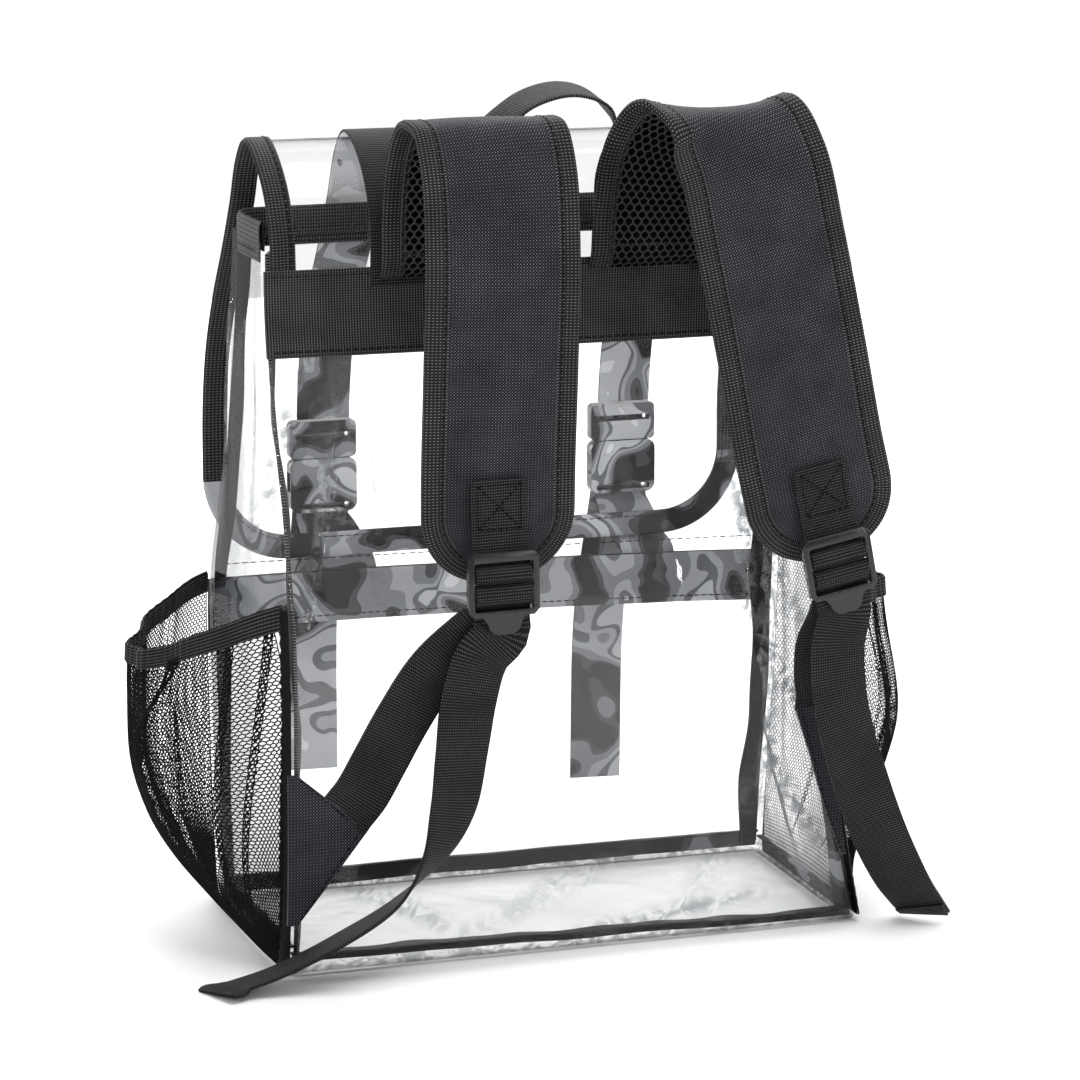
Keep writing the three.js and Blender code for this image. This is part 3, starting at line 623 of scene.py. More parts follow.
@dataclass(frozen=True)
class Woven(Finish):
    """Woven polyester or polypropylene: fine ribs or checks that catch the light on their crests.

    The thread spacing is drawn about half as coarse again as the real one, so that it shows at this size.
    """

    lit_crest: str
    shaded_valley: str
    weave: Weave
    rib_mm: float
    thread_mm: float
    relief_mm: float = 0.3
    roughness: float = 0.6
    sheen: float = 0.0
    worn: float = 0.25
    lint_mm: float = 22.0

    def shade(self, tree: Tree) -> Socket:
        """Threads on the flat cloth's own map."""
        height = self.threads(tree)
        return self.cloth(tree, self.crests(tree, height), height)

    def crests(self, tree: Tree, height: Socket) -> Socket:
        """Colour with a painted highlight on the crests of the threads and painted shade in the valleys
        between them.
        """
        return blend(tree, maths(tree, "POWER", height, 4.0), linear(self.shaded_valley), linear(self.lit_crest))

    def threads(self, tree: Tree) -> Socket:
        """Height of the threads, from 0 to 1."""
        split = add(tree, "SeparateXYZ", {0: add(tree, "TexCoord").outputs["UV"]}).outputs
        rib, thread = (
            maths(tree, "SINE", maths(tree, "MULTIPLY", split[axis], TURN / (spacing * MM)))
            for axis, spacing in (("Y", self.rib_mm), ("X", self.thread_mm))
        )
        total: Socket | float = 0.5
        for wave, weight in zip((rib, thread, maths(tree, "MULTIPLY", rib, thread)), self.weave.value):
            if weight:
                total = maths(tree, "MULTIPLY_ADD", wave, 0.5 * weight, total)
        return total

    def cloth(self, tree: Tree, colour: Socket, height: Socket) -> Socket:
        """Cloth shader, with the faint fading and lint of handled cloth.

        Args:
            tree: The material's node tree.
            colour: Colour over the cloth.
            height: Height of its threads, from 0 to 1.

        Returns:
            The shader's output.
        """
        lint = mapped(tree, speckle(tree, self.lint_mm, 5.0), (0.3, 0.75), (1 - self.worn, 1 + self.worn))
        return add(tree, "BsdfPrincipled", {
            "Base Color": scaled(tree, colour, lint), "Roughness": self.roughness, "Specular IOR Level": 0.12,
            "Sheen Weight": self.sheen, "Sheen Roughness": 0.5,
            "Normal": bumped(tree, height, 0.8, self.relief_mm),
        }).outputs[0]


# Tones of cloth pressed on film: the darkest where it clings, the greys and pales painted in as the film's
# reflection over an air gap
CLING_AND_REFLECTION_TONES = (
    (0.0, "#121315"), (0.415, "#404245"), (0.45, "#7c7e82"), (0.525, "#a3a5a9"), (0.59, "#65676b"),
    (0.64, "#bcbec2"), (0.76, "#dcdee0"),
)


@dataclass(frozen=True)
class WettedWithPaintedReflection(Woven):
    """Black cloth pressed on clear vinyl: dark where the film clings to it, with grey and pale patches
    painted in as the film's reflection where air lies between.
    """

    relief_mm: float = 0.02
    roughness: float = 0.5
    worn: float = 0.06
    blotch_mm: float = 30.0
    top_mm: float = 1000.0
    reflection_shift: float = 0.0
    ridge_reflection_shift: float = 0.26

    def shade(self, tree: Tree) -> Socket:
        """Dark clinging patches and grey patches of painted reflection, with crisp rounded edges over the
        woven cloth, up to a height.
        """
        threads, height = self.threads(tree), height_on(tree)
        patches = speckle(tree, self.blotch_mm, 0.5, 0.4, 0.6)
        # Over the flap's ridge air lies between film and strap, so the painted reflection patches turn pale
        lift = mapped(tree, height, (0.37, 0.41), (self.reflection_shift, self.reflection_shift + self.ridge_reflection_shift))
        ramp = add(tree, "ValToRGB", {"Fac": maths(tree, "ADD", patches, lift)})
        stops = ramp.color_ramp.elements
        while len(stops) < len(CLING_AND_REFLECTION_TONES):
            stops.new(1.0)
        for stop, (position, tone) in zip(stops, CLING_AND_REFLECTION_TONES):
            stop.position, stop.color = position, linear(tone)
        ramp.color_ramp.interpolation = "CONSTANT"
        below = maths(tree, "LESS_THAN", height, self.top_mm * MM)
        return self.cloth(tree, blend(tree, below, self.crests(tree, threads), ramp.outputs[0]), threads)


@dataclass(frozen=True)
class Moulded(Finish):
    """Injection-moulded acetal: satin black with a fine spark-eroded grain, rubbed smoother in places."""

    colour: str
    grain_mm: float = 0.9
    rubbed_mm: float = 9.0
    roughness: float = 0.27
    change: float = 0.12

    def shade(self, tree: Tree) -> Socket:
        """Grain that bends the gloss a little, and roughness that changes over the part."""
        span = (self.roughness - self.change, self.roughness + self.change)
        return add(tree, "BsdfPrincipled", {
            "Base Color": linear(self.colour), "IOR": 1.48,
            "Roughness": mapped(tree, speckle(tree, self.rubbed_mm, 3.0), target=span),
            "Normal": bumped(tree, speckle(tree, self.grain_mm), 0.25),
        }).outputs[0]


@dataclass(frozen=True)
class Yarn(Finish):
    """Spun or knitted polyester yarn: dull black with fibres that break up the light."""

    colour: str
    fibre_mm: float = 0.5

    def shade(self, tree: Tree) -> Socket:
        """Fibres as a fine change of tone and height."""
        fibres = speckle(tree, self.fibre_mm)
        colour = scaled(tree, linear(self.colour)[:3], mapped(tree, fibres, target=(0.6, 1.5)))
        return add(tree, "BsdfPrincipled", {
            "Base Color": colour, "Roughness": 0.75, "Specular IOR Level": 0.06,
            "Normal": bumped(tree, fibres, 0.4),
        }).outputs[0]


@dataclass(frozen=True)
class Paper(Finish):
    """Matt white background paper: no gloss, a faint tooth."""

    colour: str = "#f7f7f7"
    tooth_mm: float = 2.0

    def shade(self, tree: Tree) -> Socket:
        """Plain white with the paper's tooth as a slight bump."""
        normal = bumped(tree, speckle(tree, self.tooth_mm), 0.05)
        return add(tree, "BsdfDiffuse", {"Color": linear(self.colour), "Normal": normal}).outputs[0]


VINYL = ClearVinyl("clear vinyl film")
FLOOR_VINYL = ClearVinyl("clear vinyl floor", "#fefefe", "#dcdfe0", 0.0, wave_mm=38.0, wave_height_mm=7.0)
WEBBING = Woven("black polypropylene webbing", "#676768", "#020202", Weave.RIBBED, 1.5, 1.35)
GROSGRAIN = Woven("black grosgrain tape", "#828282", "#040404", Weave.RIBBED, 1.5, 1.8)
BAND = Woven("black polypropylene band", "#929293", "#030303", Weave.RIBBED, 1.5, 1.35)
ELASTIC = Woven("black elastic tape", "#4c4c4c", "#080808", Weave.LENGTHWISE, 1.6, 1.7)
CANVAS = Woven("charcoal oxford polyester", "#7d7d89", "#020203", Weave.PLAIN, 1.7, 1.7, sheen=0.02, worn=0.3)
# Finishes of cloth and acetal pressed on the film, with grey and pale patches of painted reflection
WET_WEBBING = WettedWithPaintedReflection("webbing clinging to vinyl", "#3a3a3b", "#121213", Weave.RIBBED, 1.8, 1.6)
WET_TAPE = WettedWithPaintedReflection("tape clinging to vinyl", "#3d3d3d", "#131313", Weave.RIBBED, 1.6, 2.0)
WET_EDGE = WettedWithPaintedReflection(
    "flap tape clinging to vinyl", "#7e7e7e", "#080808", Weave.RIBBED, 1.6, 2.0, 0.1, 0.55, top_mm=232.0
)
WET_PLASTIC = WettedWithPaintedReflection(
    "acetal clinging to vinyl", "#3a3a3c", "#1c1c1d", Weave.RIBBED, 30.0, 30.0, roughness=0.4, blotch_mm=24.0
)
WET_SEAM = WettedWithPaintedReflection(
    "seam tape under vinyl", "#3a3b3c", "#0b0b0c", Weave.RIBBED, 1.6, 2.0, roughness=0.45, blotch_mm=52.0,
    reflection_shift=-0.24,
)
ACETAL = Moulded("black acetal", "#1f1f20")
KNIT = Yarn("black knitted mesh", "#131314")
AIR_MESH = Yarn("black air mesh", "#3c3c3f")
BACKING = Yarn("black air mesh backing", "#020202")
THREAD = Yarn("black sewing thread", "#0e0e0f", 0.3)
PAPER = Paper("white studio paper")


# Ways of making pieces

def dress(piece: Piece, finishes: Sequence[Finish], nodes: Sequence[str] = ()) -> None:
    """Gives a piece its finishes and its place on the frame.

    Args:
        piece: The object.
        finishes: Its finishes, the outer side's first.
        nodes: CAD nodes that it stands for.
    """
    piece.data.materials.clear()
    for finish in finishes:
        piece.data.materials.append(finish.material())
    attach(piece, "root")
    if nodes:
        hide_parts(*nodes)
    LOG.info("%s: %d faces", piece.name, len(piece.data.polygons))


def thicken(piece: Piece, thickness: float, edge: float = 0.0, lining: int = 0) -> None:
    """Gives a sheet its thickness about its middle, and rounds its edges.

    Args:
        piece: The sheet.
        thickness: In millimetres.
        edge: Width of the rounding in millimetres.
        lining: How much further on in the list the inner side's finish is.
    """
    modify(
        piece, "SOLIDIFY", thickness=thickness * MM, offset=0.0, use_even_offset=False, material_offset=lining
    )
    if edge:
        limit = math.radians(50)
        modify(piece, "BEVEL", width=edge * MM, segments=2, limit_method="ANGLE", angle_limit=limit)
    smooth(piece)


def make_sheet(
    name: str, cells: tuple[int, int], place: Place, size: tuple[float, float] | None,
    finishes: Sequence[Finish], nodes: Sequence[str], thickness: float, edge: float = 0.0,
    turned: bool = False,
) -> Piece:
    """Makes a sheet of film, tape or cloth.

    Args:
        name: Name of the piece.
        cells: Faces across and along.
        place: Points in millimetres for places from 0 to 1 across and along.
        size: Width and length of the flat cloth, or None where it is cut to the shape seen from behind.
        finishes: Finish of the outer side, and of the inner side where that differs.
        nodes: CAD nodes that it stands for.
        thickness: In millimetres.
        edge: Width of the rounding of its edges in millimetres.
        turned: Whether the cloth's length runs across the grid.

    Returns:
        The new object.
    """
    piece = bent_grid(name, cells, place, size, turned)
    dress(piece, finishes, nodes)
    thicken(piece, thickness, edge, len(finishes) - 1)
    return piece


def zigzag(u: Array, v: Array, cells: tuple[int, int]) -> Array:
    """1 and -1 in turn over the points of a grid, so that its courses can run zigzag."""
    return np.where((np.round(v * cells[1]) + np.round(u * cells[0])) % 2 == 0, 1.0, -1.0)


def make_net(
    name: str, cells: tuple[int, int], place: Place, size: tuple[float, float], finish: Finish,
    nodes: Sequence[str], yarn: float,
) -> Piece:
    """Makes a net of yarn from a zigzag grid, whose cells are joined into six-sided holes.

    Args:
        name: Name of the piece.
        cells: Faces of the grid across and along.
        place: Points in millimetres for places from 0 to 1 across and along.
        size: Width and length of the flat net.
        finish: Finish of the yarn.
        nodes: CAD nodes that it stands for.
        yarn: Thickness of the yarn in millimetres.

    Returns:
        The new object.
    """
    piece = bent_grid(name, cells, place, size)
    dress(piece, [finish], nodes)
    width = cells[0] + 1
    select_only(piece)
    bpy.ops.object.mode_set(mode="EDIT")
    bpy.ops.mesh.select_mode(type="EDGE")
    bpy.ops.mesh.select_all(action="DESELECT")
    bpy.ops.object.mode_set(mode="OBJECT")
    for edge in piece.data.edges:
        first, last = sorted(edge.vertices)
        course, column = divmod(first, width)
        edge.select = last - first == width and 0 < column < cells[0] and (course + column) % 2 == 1
    bpy.ops.object.mode_set(mode="EDIT")
    bpy.ops.mesh.dissolve_edges(use_verts=False)
    bpy.ops.object.mode_set(mode="OBJECT")
    even = {"use_even_offset": False, "use_relative_offset": False}
    modify(piece, "WIREFRAME", thickness=yarn * MM, use_boundary=True, **even)
    smooth(piece, 50)
    return piece


def strap(
    name: str, rows: Sequence[Sequence[float]], finishes: Sequence[Finish], nodes: Sequence[str],
    hem: float = 0.0,
) -> None:
    """Makes flat webbing along a route.

    Args:
        name: Name of the piece.
        rows: Places and directions across, six numbers a row.
        finishes: Finish of the outer side, and of the inner side where that differs.
        nodes: CAD nodes that it stands for.
        hem: Length of a turned and stitched end, if any; below 0 where it is turned to the other side.
    """
    middle, sides = Route([row[:3] for row in rows]), Route([row[3:] for row in rows])

    def surface(u: Array, v: Array, lift: float = 0.0) -> Array:
        """Points of the webbing's middle surface, or of one above it."""
        turn = middle.turn(v * middle.length)
        heading = middle.heading(turn)
        across = sides.at(turn)
        across = unit(across - heading * np.sum(across * heading, 1, keepdims=True))
        face = np.cross(across, heading)
        cup = 0.25 * uneven(v * middle.length, u * 0, 45, len(name)) * (1 - (2 * u - 1) ** 2)
        return middle.at(turn) + across * ((u - 0.5) * STRAP_WIDTH)[:, None] + face * (cup + lift)[:, None]

    cells, size = (6, max(12, round(middle.length / 3))), (STRAP_WIDTH, middle.length)
    make_sheet(name, cells, surface, size, finishes, nodes, STRAP_THICK, STRAP_EDGE)
    if hem:
        start = 1 - abs(hem) / middle.length

        def turned(u: Array, v: Array) -> Array:
            """Points of the turned end."""
            lift = math.copysign(STRAP_THICK + 0.1, hem)
            return surface(0.02 + 0.96 * u, start + (0.9999 - start) * v, lift)

        size = (STRAP_WIDTH, abs(hem))
        make_sheet(name + "_end", (6, 8), turned, size, finishes[:1], (), STRAP_THICK * 0.8, 0.4)


def moulding(node: str, edge: float, finishes: Sequence[Finish]) -> Piece:
    """Makes a moulded part: a copy of its solid with rounded edges.

    Args:
        node: The CAD node.
        edge: Radius of the rounding in millimetres.
        finishes: Its finishes.

    Returns:
        The new object.
    """
    piece = bpy.data.objects.new(node + "_moulding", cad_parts[node].data.copy())
    bpy.context.scene.collection.objects.link(piece)
    select_only(piece)
    bpy.ops.object.mode_set(mode="EDIT")
    bpy.ops.mesh.select_all(action="SELECT")
    bpy.ops.mesh.remove_doubles(threshold=0.00002)
    bpy.ops.mesh.dissolve_limited(angle_limit=math.radians(2))
    bpy.ops.object.mode_set(mode="OBJECT")
    modify(
        piece, "BEVEL", width=edge * MM, segments=3, limit_method="ANGLE", angle_limit=math.radians(32),
        use_clamp_overlap=True, harden_normals=False,
    )
    smooth(piece, 35)
    dress(piece, finishes, [node])
    return piece


def swell(piece: Piece, pressure: float, cap: float) -> None:
    """Swells a cover that is sewn down round its edge, by cloth simulation.

    Args:
        piece: The cover.
        pressure: Pressure of the foam under it.
        cap: How far a point may move, in millimetres.
    """
    last_step = 20
    count = len(piece.data.vertices)
    before, after = np.empty(count * 3, np.float32), np.empty(count * 3, np.float32)
    piece.data.vertices.foreach_get("co", before)
    uses: dict[tuple[int, int], int] = {}
    for face in piece.data.polygons:
        for key in face.edge_keys:
            uses[key] = uses.get(key, 0) + 1
    edge = sorted({vertex for key, used in uses.items() if used == 1 for vertex in key})
    group = piece.vertex_groups.new(name="sewn edge")
    group.add(edge, 1.0, "REPLACE")
    select_only(piece)
    cloth = piece.modifiers.new("Cloth", "CLOTH")
    cloth.settings.vertex_group_mass = group.name
    cloth.settings.use_pressure = True
    cloth.settings.uniform_pressure_force = pressure
    cloth.settings.effector_weights.gravity = 0.0
    cloth.settings.quality = 6
    cloth.settings.mass = 0.2
    cloth.collision_settings.use_collision = False
    for number in range(1, last_step + 1):
        bpy.context.scene.frame_set(number)
    bpy.ops.object.modifier_apply(modifier=cloth.name)
    bpy.context.scene.frame_set(1)
    mesh = piece.data
    mesh.vertices.foreach_get("co", after)
    move = (after - before).reshape(-1, 3)
    far = np.linalg.norm(move, axis=1, keepdims=True)
    LOG.info("%s swells by up to %.2f mm", piece.name, far.max() / MM)
    kept = move * np.minimum(1.0, cap * MM / np.maximum(far, 1e-9))
    mesh.vertices.foreach_set("co", (before.reshape(-1, 3) + kept).ravel())
    mesh.update()
    piece.vertex_groups.clear()


# Sub-assemblies

@dataclass
class Crease:
    """Ridge in a film wall, between two places given as share along the wall and height."""

    start: tuple[float, float]
    end: tuple[float, float]
    width: float
    height: float

    def mark(self, across: Array, z: Array, length: float) -> Array:
        """How much painted reflection the ridge puts on the film: the sharper, the more."""
        return np.abs(self.lift(across, z, length)) / 3 * min(1, 3.5 / self.width)

    def lift(self, across: Array, z: Array, length: float) -> Array:
        """Height of the ridge.

        Args:
            across: Shares along the wall.
            z: Heights on the wall.
            length: Mean length of the wall.

        Returns:
            Distances outwards.
        """
        spots = np.column_stack([across * length, z])
        start = np.array([self.start[0] * length, self.start[1]])
        run = np.array([self.end[0] * length, self.end[1]]) - start
        share = np.clip((spots - start) @ run / (run @ run), 0, 1)
        off = np.linalg.norm(spots - start - share[:, None] * run, axis=1)
        fade = np.sin(math.pi * np.clip(share, 0.02, 0.98)) ** 0.5
        return self.height * fade * np.exp(-(off / self.width) ** 2)


@dataclass
class Body:
    """Clear walls and floor with the black tapes of their seams and mouth."""

    edge_roll: float = 4.0
    foot_roll: float = 7.0
    sag: float = 1.4
    tape_width: float = 13.0
    tape_thick: float = 2.2
    tape_inset: float = 2.5
    seam_thick: float = 1.3
    seam_foot: float = 5.0
    seam_top: float = 375.5
    rim_height: float = 16.0
    rim_thick: float = 3.0
    rim_corner: float = 12.0
    rim_back_gap: float = 6.0

    def build(self) -> None:
        """Makes the film, the tapes and the mouth."""
        top = MOUTH_HEIGHT - self.rim_height + 6
        self.film("back_panel", Wall.BACK, 364.0, (True, True), (96, 110), 3.1, [
            Crease((0.145, 330), (0.015, 178), 2.6, 2.2), Crease((0.80, 306), (0.845, 180), 3.0, 2.0),
            Crease((0.845, 185), (0.955, 120), 3.5, -3.4), Crease((0.86, 225), (0.96, 165), 3.0, 2.6),
            Crease((0.835, 262), (0.85, 172), 3.0, 3.0), Crease((0.88, 100), (0.965, 40), 3.5, 3.2),
            Crease((0.90, 140), (0.875, 92), 3.0, -2.6), Crease((0.17, 320), (0.16, 200), 3.2, 1.5),
            Crease((0.30, 14), (0.62, 60), 7, 1.5), Crease((0.70, 20), (0.93, 120), 9, -2.0),
            Crease((0.05, 60), (0.3, 16), 5, 2.0), Crease((0.5, 10), (0.85, 22), 4, -1.8),
        ])
        self.film("front_panel", Wall.FRONT, top, (False, False), (44, 60), 7.7, [
            Crease((0.86, 330), (0.95, 190), 3, 2.6), Crease((0.2, 330), (0.12, 210), 5, 1.8),
        ])
        self.film("left_panel", Wall.LEFT, top, (True, False), (32, 60), 12.3, [
            Crease((0.1, 350), (0.22, 210), 4, 2.2), Crease((0.8, 340), (0.6, 220), 5, -1.8),
        ])
        self.film("right_panel", Wall.RIGHT, top, (False, True), (72, 130), 18.9, [
            Crease((0.98, 215), (0.93, 80), 3.5, -4.5), Crease((0.93, 85), (0.55, 16), 3.5, -4.0),
            Crease((0.8, 240), (0.7, 60), 5, -2.4), Crease((0.3, 300), (0.35, 180), 6, 3.0),
        ], 6.0)
        self.floor()
        self.upright_seams()
        self.floor_seams()
        self.mouth()

    def roll(self, distance: Array, radius: float) -> Array:
        """How far inwards a rolled edge has turned at a distance from its corner."""
        return radius - np.sqrt(np.maximum(radius**2 - np.maximum(radius - distance, 0) ** 2, 0))

    def film(
        self, name: str, wall: Wall, top: float, rolled: tuple[bool, bool], cells: tuple[int, int],
        seed: float, creases: Sequence[Crease], crumple: float = 0.0,
    ) -> None:
        """Makes one clear wall.

        Args:
            name: Name of its CAD node.
            wall: The wall.
            top: Height of its upper edge.
            rolled: Whether it turns round its first and last corner.
            cells: Faces across and up.
            seed: Which chance waves it has.
            creases: Ridges and dents that the sewing pulls into it.
            crumple: Depth of the sharp folds beside its last corner, which also sets how much painted
                reflection they get.
        """
        length = float(wall_length(wall, np.array([MID_HEIGHT]))[0])
        near, far = (0.0 if turns else self.edge_roll for turns in rolled)
        painted_reflections: list[Array] = []

        def place(u: Array, v: Array) -> Array:
            """Points of the film, closer together at its edges and foot."""
            share = 0.5 - 0.5 * np.cos(math.pi * u)
            z = FILM + (top - FILM) * (1 - np.cos(math.pi / 2 * v))
            reach, across = wall_length(wall, z), share * length
            from_first = near + share * (reach - near - far)
            inwards = self.roll(z, self.foot_roll)
            for turns, distance in zip(rolled, (from_first, reach - from_first)):
                if turns:
                    inwards = inwards + self.roll(distance, self.edge_roll)
            inner = np.sin(math.pi * np.clip(share, 0, 1)) ** 0.5 * ease(0, 40, z) * (1 - ease(330, 360, z))
            waves = uneven(across, z, 70, seed) + 0.45 * uneven(across, z * 0.7, 27, seed + 5)
            folds = 1 - np.abs(uneven(across * 1.2, z * 0.5, 20, seed + 13)) ** 0.6
            corner = folds * ease(0.7, 0.93, share) * ease(8, 40, z) * (1 - ease(190, 290, z))
            ridges = sum(crease.lift(share, z, length) for crease in creases)
            # How much painted reflection each point gets: streaks on creases and crumples, and along the
            # rolled foot
            painted_silver = sum(crease.mark(share, z, length) for crease in creases) + 0.13 * crumple * corner
            painted_reflections.append(painted_silver + 0.5 * (1 - ease(4, 11, z)))
            foot = 0.9 * uneven(across, z * 3, 34, seed + 9) * (1 - ease(6, 40, z)) * ease(0, 5, z)
            lift = self.sag * waves * inner + ridges - crumple * corner + foot
            return wall_point(wall, from_first / reach, z, lift - inwards - FILM / 2)

        piece = bent_grid(name + "_film", cells, place, (length, top))
        mark = piece.data.attributes.new(FOLD_REFLECTION_PAINT, "FLOAT", "POINT")
        mark.data.foreach_set("value", np.clip(painted_reflections[0], 0, 1).astype(np.float32))
        dress(piece, [VINYL], [name])
        thicken(piece, FILM)
        widths = wall_length(wall, np.linspace(0, top, 60))

    def floor(self) -> None:
        """Makes the clear floor, a little rumpled."""
        ground = np.zeros(1)
        back_left, back_right, front_right, front_left = (corner_at(corner, ground)[0] for corner in Corner)

        def place(u: Array, v: Array) -> Array:
            """Points of the floor inside the rolled foot of the walls."""
            u, v = 0.02 + 0.96 * u, 0.04 + 0.92 * v
            back = lerp(back_left, back_right, u[:, None])
            front = lerp(front_left, front_right, u[:, None])
            plan = lerp(back, front, v[:, None])
            middle = np.sin(math.pi * u) * np.sin(math.pi * v)
            bumps = 1 + uneven(plan[:, 0], plan[:, 1], 45, 2.2)
            return np.column_stack([plan, FILM / 2 + 0.1 + 1.9 * middle * bumps])

        piece = make_sheet(
            "base_panel_film", (44, 24), place, (307.0, 140.0), [FLOOR_VINYL], ["base_panel"], FILM
        )

    def upright_seams(self) -> None:
        """Makes the tapes of the upright seams."""
        rows = {
            "seam_back_left": (Wall.LEFT, True, 0.5, 1.0, 4.4, GROSGRAIN),
            "seam_back_right": (Wall.RIGHT, False, 3.5, 1.0, 2.2, WET_SEAM),
            "seam_front_left": (Wall.FRONT, True, 6.5, 0.55, 2.2, WET_SEAM),
            "seam_front_right": (Wall.FRONT, False, 9.5, 0.9, 2.2, WET_SEAM),
        }
        for name, (wall, at_last, seed, broad, lean, finish) in rows.items():
            def place(u: Array, v: Array) -> Array:
                """Points of an upright tape, whose free edge waves off the wall."""
                z = lerp(self.seam_foot, self.seam_top, v)
                reach = wall_length(wall, z)
                free = 1 - u if at_last else u
                wide = broad * self.tape_width * (0.95 + 0.35 * uneven(z * 0, z, 44, seed + 1))
                off = self.tape_inset + 1.6 * uneven(z * 0, z, 80, seed + 2) * ease(20, 60, z) + free * wide
                share = (reach - off if at_last else off) / reach
                wave = lean * free * (1 + uneven(z * 0, z, 48, seed))
                return wall_point(wall, share, z, -FILM - 1.6 - self.tape_thick / 2 - wave)

            size = (self.tape_width, 371.0)
            make_sheet(name + "_tape", (5, 110), place, size, [finish], [name], self.tape_thick, 0.7)

    def floor_seams(self) -> None:
        """Makes the tapes along the foot of the walls."""
        for wall in Wall:
            at_back = wall is Wall.BACK
            tall, wide = (3.0, 9.0) if at_back else (9.5, 4.5)
            ends = self.tape_inset
            if wall in (Wall.LEFT, Wall.RIGHT):
                ends += self.tape_width + GAP

            def place(u: Array, v: Array) -> Array:
                """Points of a tape: it stands up, and at the back it bends over inwards."""
                along_wall = u * 320
                waves = uneven(along_wall, v * 4, 38, ends)
                along = v * (tall + wide * (0.75 + 0.5 * uneven(along_wall, u * 0, 26, 7.0)))
                up = np.minimum(along, tall)
                z = 2.4 + up + 0.7 * waves + (0.6 + 4.6 * (1 - u) if at_back else 0)
                reach = wall_length(wall, z)
                share = lerp(ends, reach - ends, u) / reach
                over = np.maximum(along - tall, 0)
                return wall_point(wall, share, z, -self.tape_inset - 0.12 * up - 1.5 * v * waves - over)

            name = f"base_seam_{wall.name.lower()}"
            size = (self.tape_width, float(wall_length(wall, np.array([2.0]))[0]))
            make_sheet(
                name + "_tape", (90, 8), place, size, [WET_SEAM], [name], self.seam_thick, 0.4,
                turned=True,
            )

    def mouth(self) -> None:
        """Makes the tape folded over the edge of the mouth, with its stitches."""
        height = np.array([MOUTH_HEIGHT - self.rim_height / 2])
        back_left, back_right, front_right, front_left = (corner_at(corner, height)[0] for corner in Corner)
        inwards = self.rim_thick / 2
        near_front = front_right[1] - inwards
        round_off = self.rim_corner * np.array([1.0, 0.55, 0.3, 0.12, 0.0])
        corner = np.column_stack([round_off[::-1], round_off])
        points = np.vstack([
            [back_right[0] - inwards, back_right[1] + self.rim_back_gap],
            np.array([front_right[0] - inwards, near_front]) - corner,
            np.array([front_left[0] + inwards, near_front]) + corner[::-1] * [1, -1],
            [back_left[0] + inwards, back_left[1] + self.rim_back_gap],
        ])
        line = Route(np.column_stack([points, np.zeros(len(points))]))

        def outer_at(v: Array) -> Array:
            """Direction out of the bag along the mouth."""
            heading = line.heading(line.turn(v * line.length))
            return np.column_stack([heading[:, 1], -heading[:, 0], np.zeros(len(v))])

        def place(u: Array, v: Array) -> Array:
            """Points of the folded tape, a little wavy along the mouth."""
            depth, side = folded(self.rim_height, self.rim_thick - TAPE_CLOTH, u)
            depth = np.where(u < 0.45, depth * 1.3, depth * 0.95)
            wave = 0.8 * uneven(v * line.length, depth, 60, 4.4)
            spot = line.at(line.turn(v * line.length)) + outer_at(v) * (side + wave)[:, None]
            return spot + np.array([0, 0, MOUTH_HEIGHT - 0.4]) - np.outer(depth, [0, 0, 1])

        size = (2 * self.rim_height, line.length)
        make_sheet(
            "rim_binding_tape", (14, 180), place, size, [GROSGRAIN], ["rim_binding"], TAPE_CLOTH,
            TAPE_EDGE,
        )
        v = np.linspace(0.01, 0.99, 400)
        for name, leg, sign in (("outer", 0.12, 1), ("inner", 0.88, -1)):
            facing = sign * outer_at(v)
            sew(f"rim_stitches_{name}", place(np.full_like(v, leg), v) + facing * 0.55, facing)


@dataclass
class FrontPocket:
    """Clear pocket on the front with a black hem tape along its mouth."""

    depth: float = 16.0
    length: float = 328.0
    hem_bottom: float = 148.0
    hem_top: float = 178.0
    hem_thick: float = 2.2
    flap_seam: float = 187.0
    swell: Table = Table([(0, 0), (40, 0.75), (90, 1), (148, 0.62), (178, 0.45)])

    def stand(self, share: Array, z: Array) -> Array:
        """How far the pocket stands off the front wall."""
        arch = np.sqrt(np.clip(np.sin(math.pi * np.clip(share, 0, 1)), 0, 1))
        return 0.9 + self.depth * self.swell.at(z)[:, 0] * arch

    def film(self, u: Array, v: Array) -> Array:
        """Points of the pocket's film."""
        share = 0.002 + 0.996 * (0.5 - 0.5 * np.cos(math.pi * u))
        z = 0.8 + (self.hem_bottom + 5.2) * (1 - np.cos(math.pi / 2 * v))
        inner = np.sin(math.pi * share) * ease(2, 40, z)
        across = share * self.length
        waves = 1.5 * uneven(across, z, 60, 21.0) + 0.6 * uneven(across, z, 24, 26.0)
        tuck = np.maximum(6 - z, 0) * 0.35
        return wall_point(Wall.FRONT, share, z, self.stand(share, z) + waves * inner - tuck)

    def hem(self, u: Array, v: Array) -> Array:
        """Points of the hem tape."""
        share = 0.001 + 0.998 * u
        z = lerp(self.hem_bottom, self.hem_top, v) + 0.8 * uneven(u * self.length, v * 0, 60, 31.0)
        return wall_point(Wall.FRONT, share, z, self.stand(share, z) + GAP + 0.5)

    def build(self) -> None:
        """Makes the pocket's film, its hem and the row of stitches over it."""
        size = (self.length, 155.0)
        piece = make_sheet(
            "pocket_panel_film", (56, 40), self.film, size, [VINYL], ["pocket_panel"], FILM
        )
        make_sheet(
            "pocket_hem_tape", (90, 8), self.hem, (30.0, self.length), [GROSGRAIN, WET_TAPE],
            ["pocket_hem"], self.hem_thick, 0.6, turned=True,
        )
        u = np.linspace(0.01, 0.99, 300)
        for name, v, side in (("lower", 0.1, 1), ("upper", 0.9, 1), ("inner", 0.12, -1)):
            facing = facing_y(side, len(u))
            row = self.hem(u, np.full_like(u, v)) + facing * (self.hem_thick / 2 + 0.2)
            sew(f"hem_stitches_{name}", row, facing)
        row = wall_point(Wall.FRONT, u, np.full_like(u, self.flap_seam), np.full_like(u, 0.4))
        sew("front_panel_stitches", row, facing_y(1, len(u)), pitch=5.0)


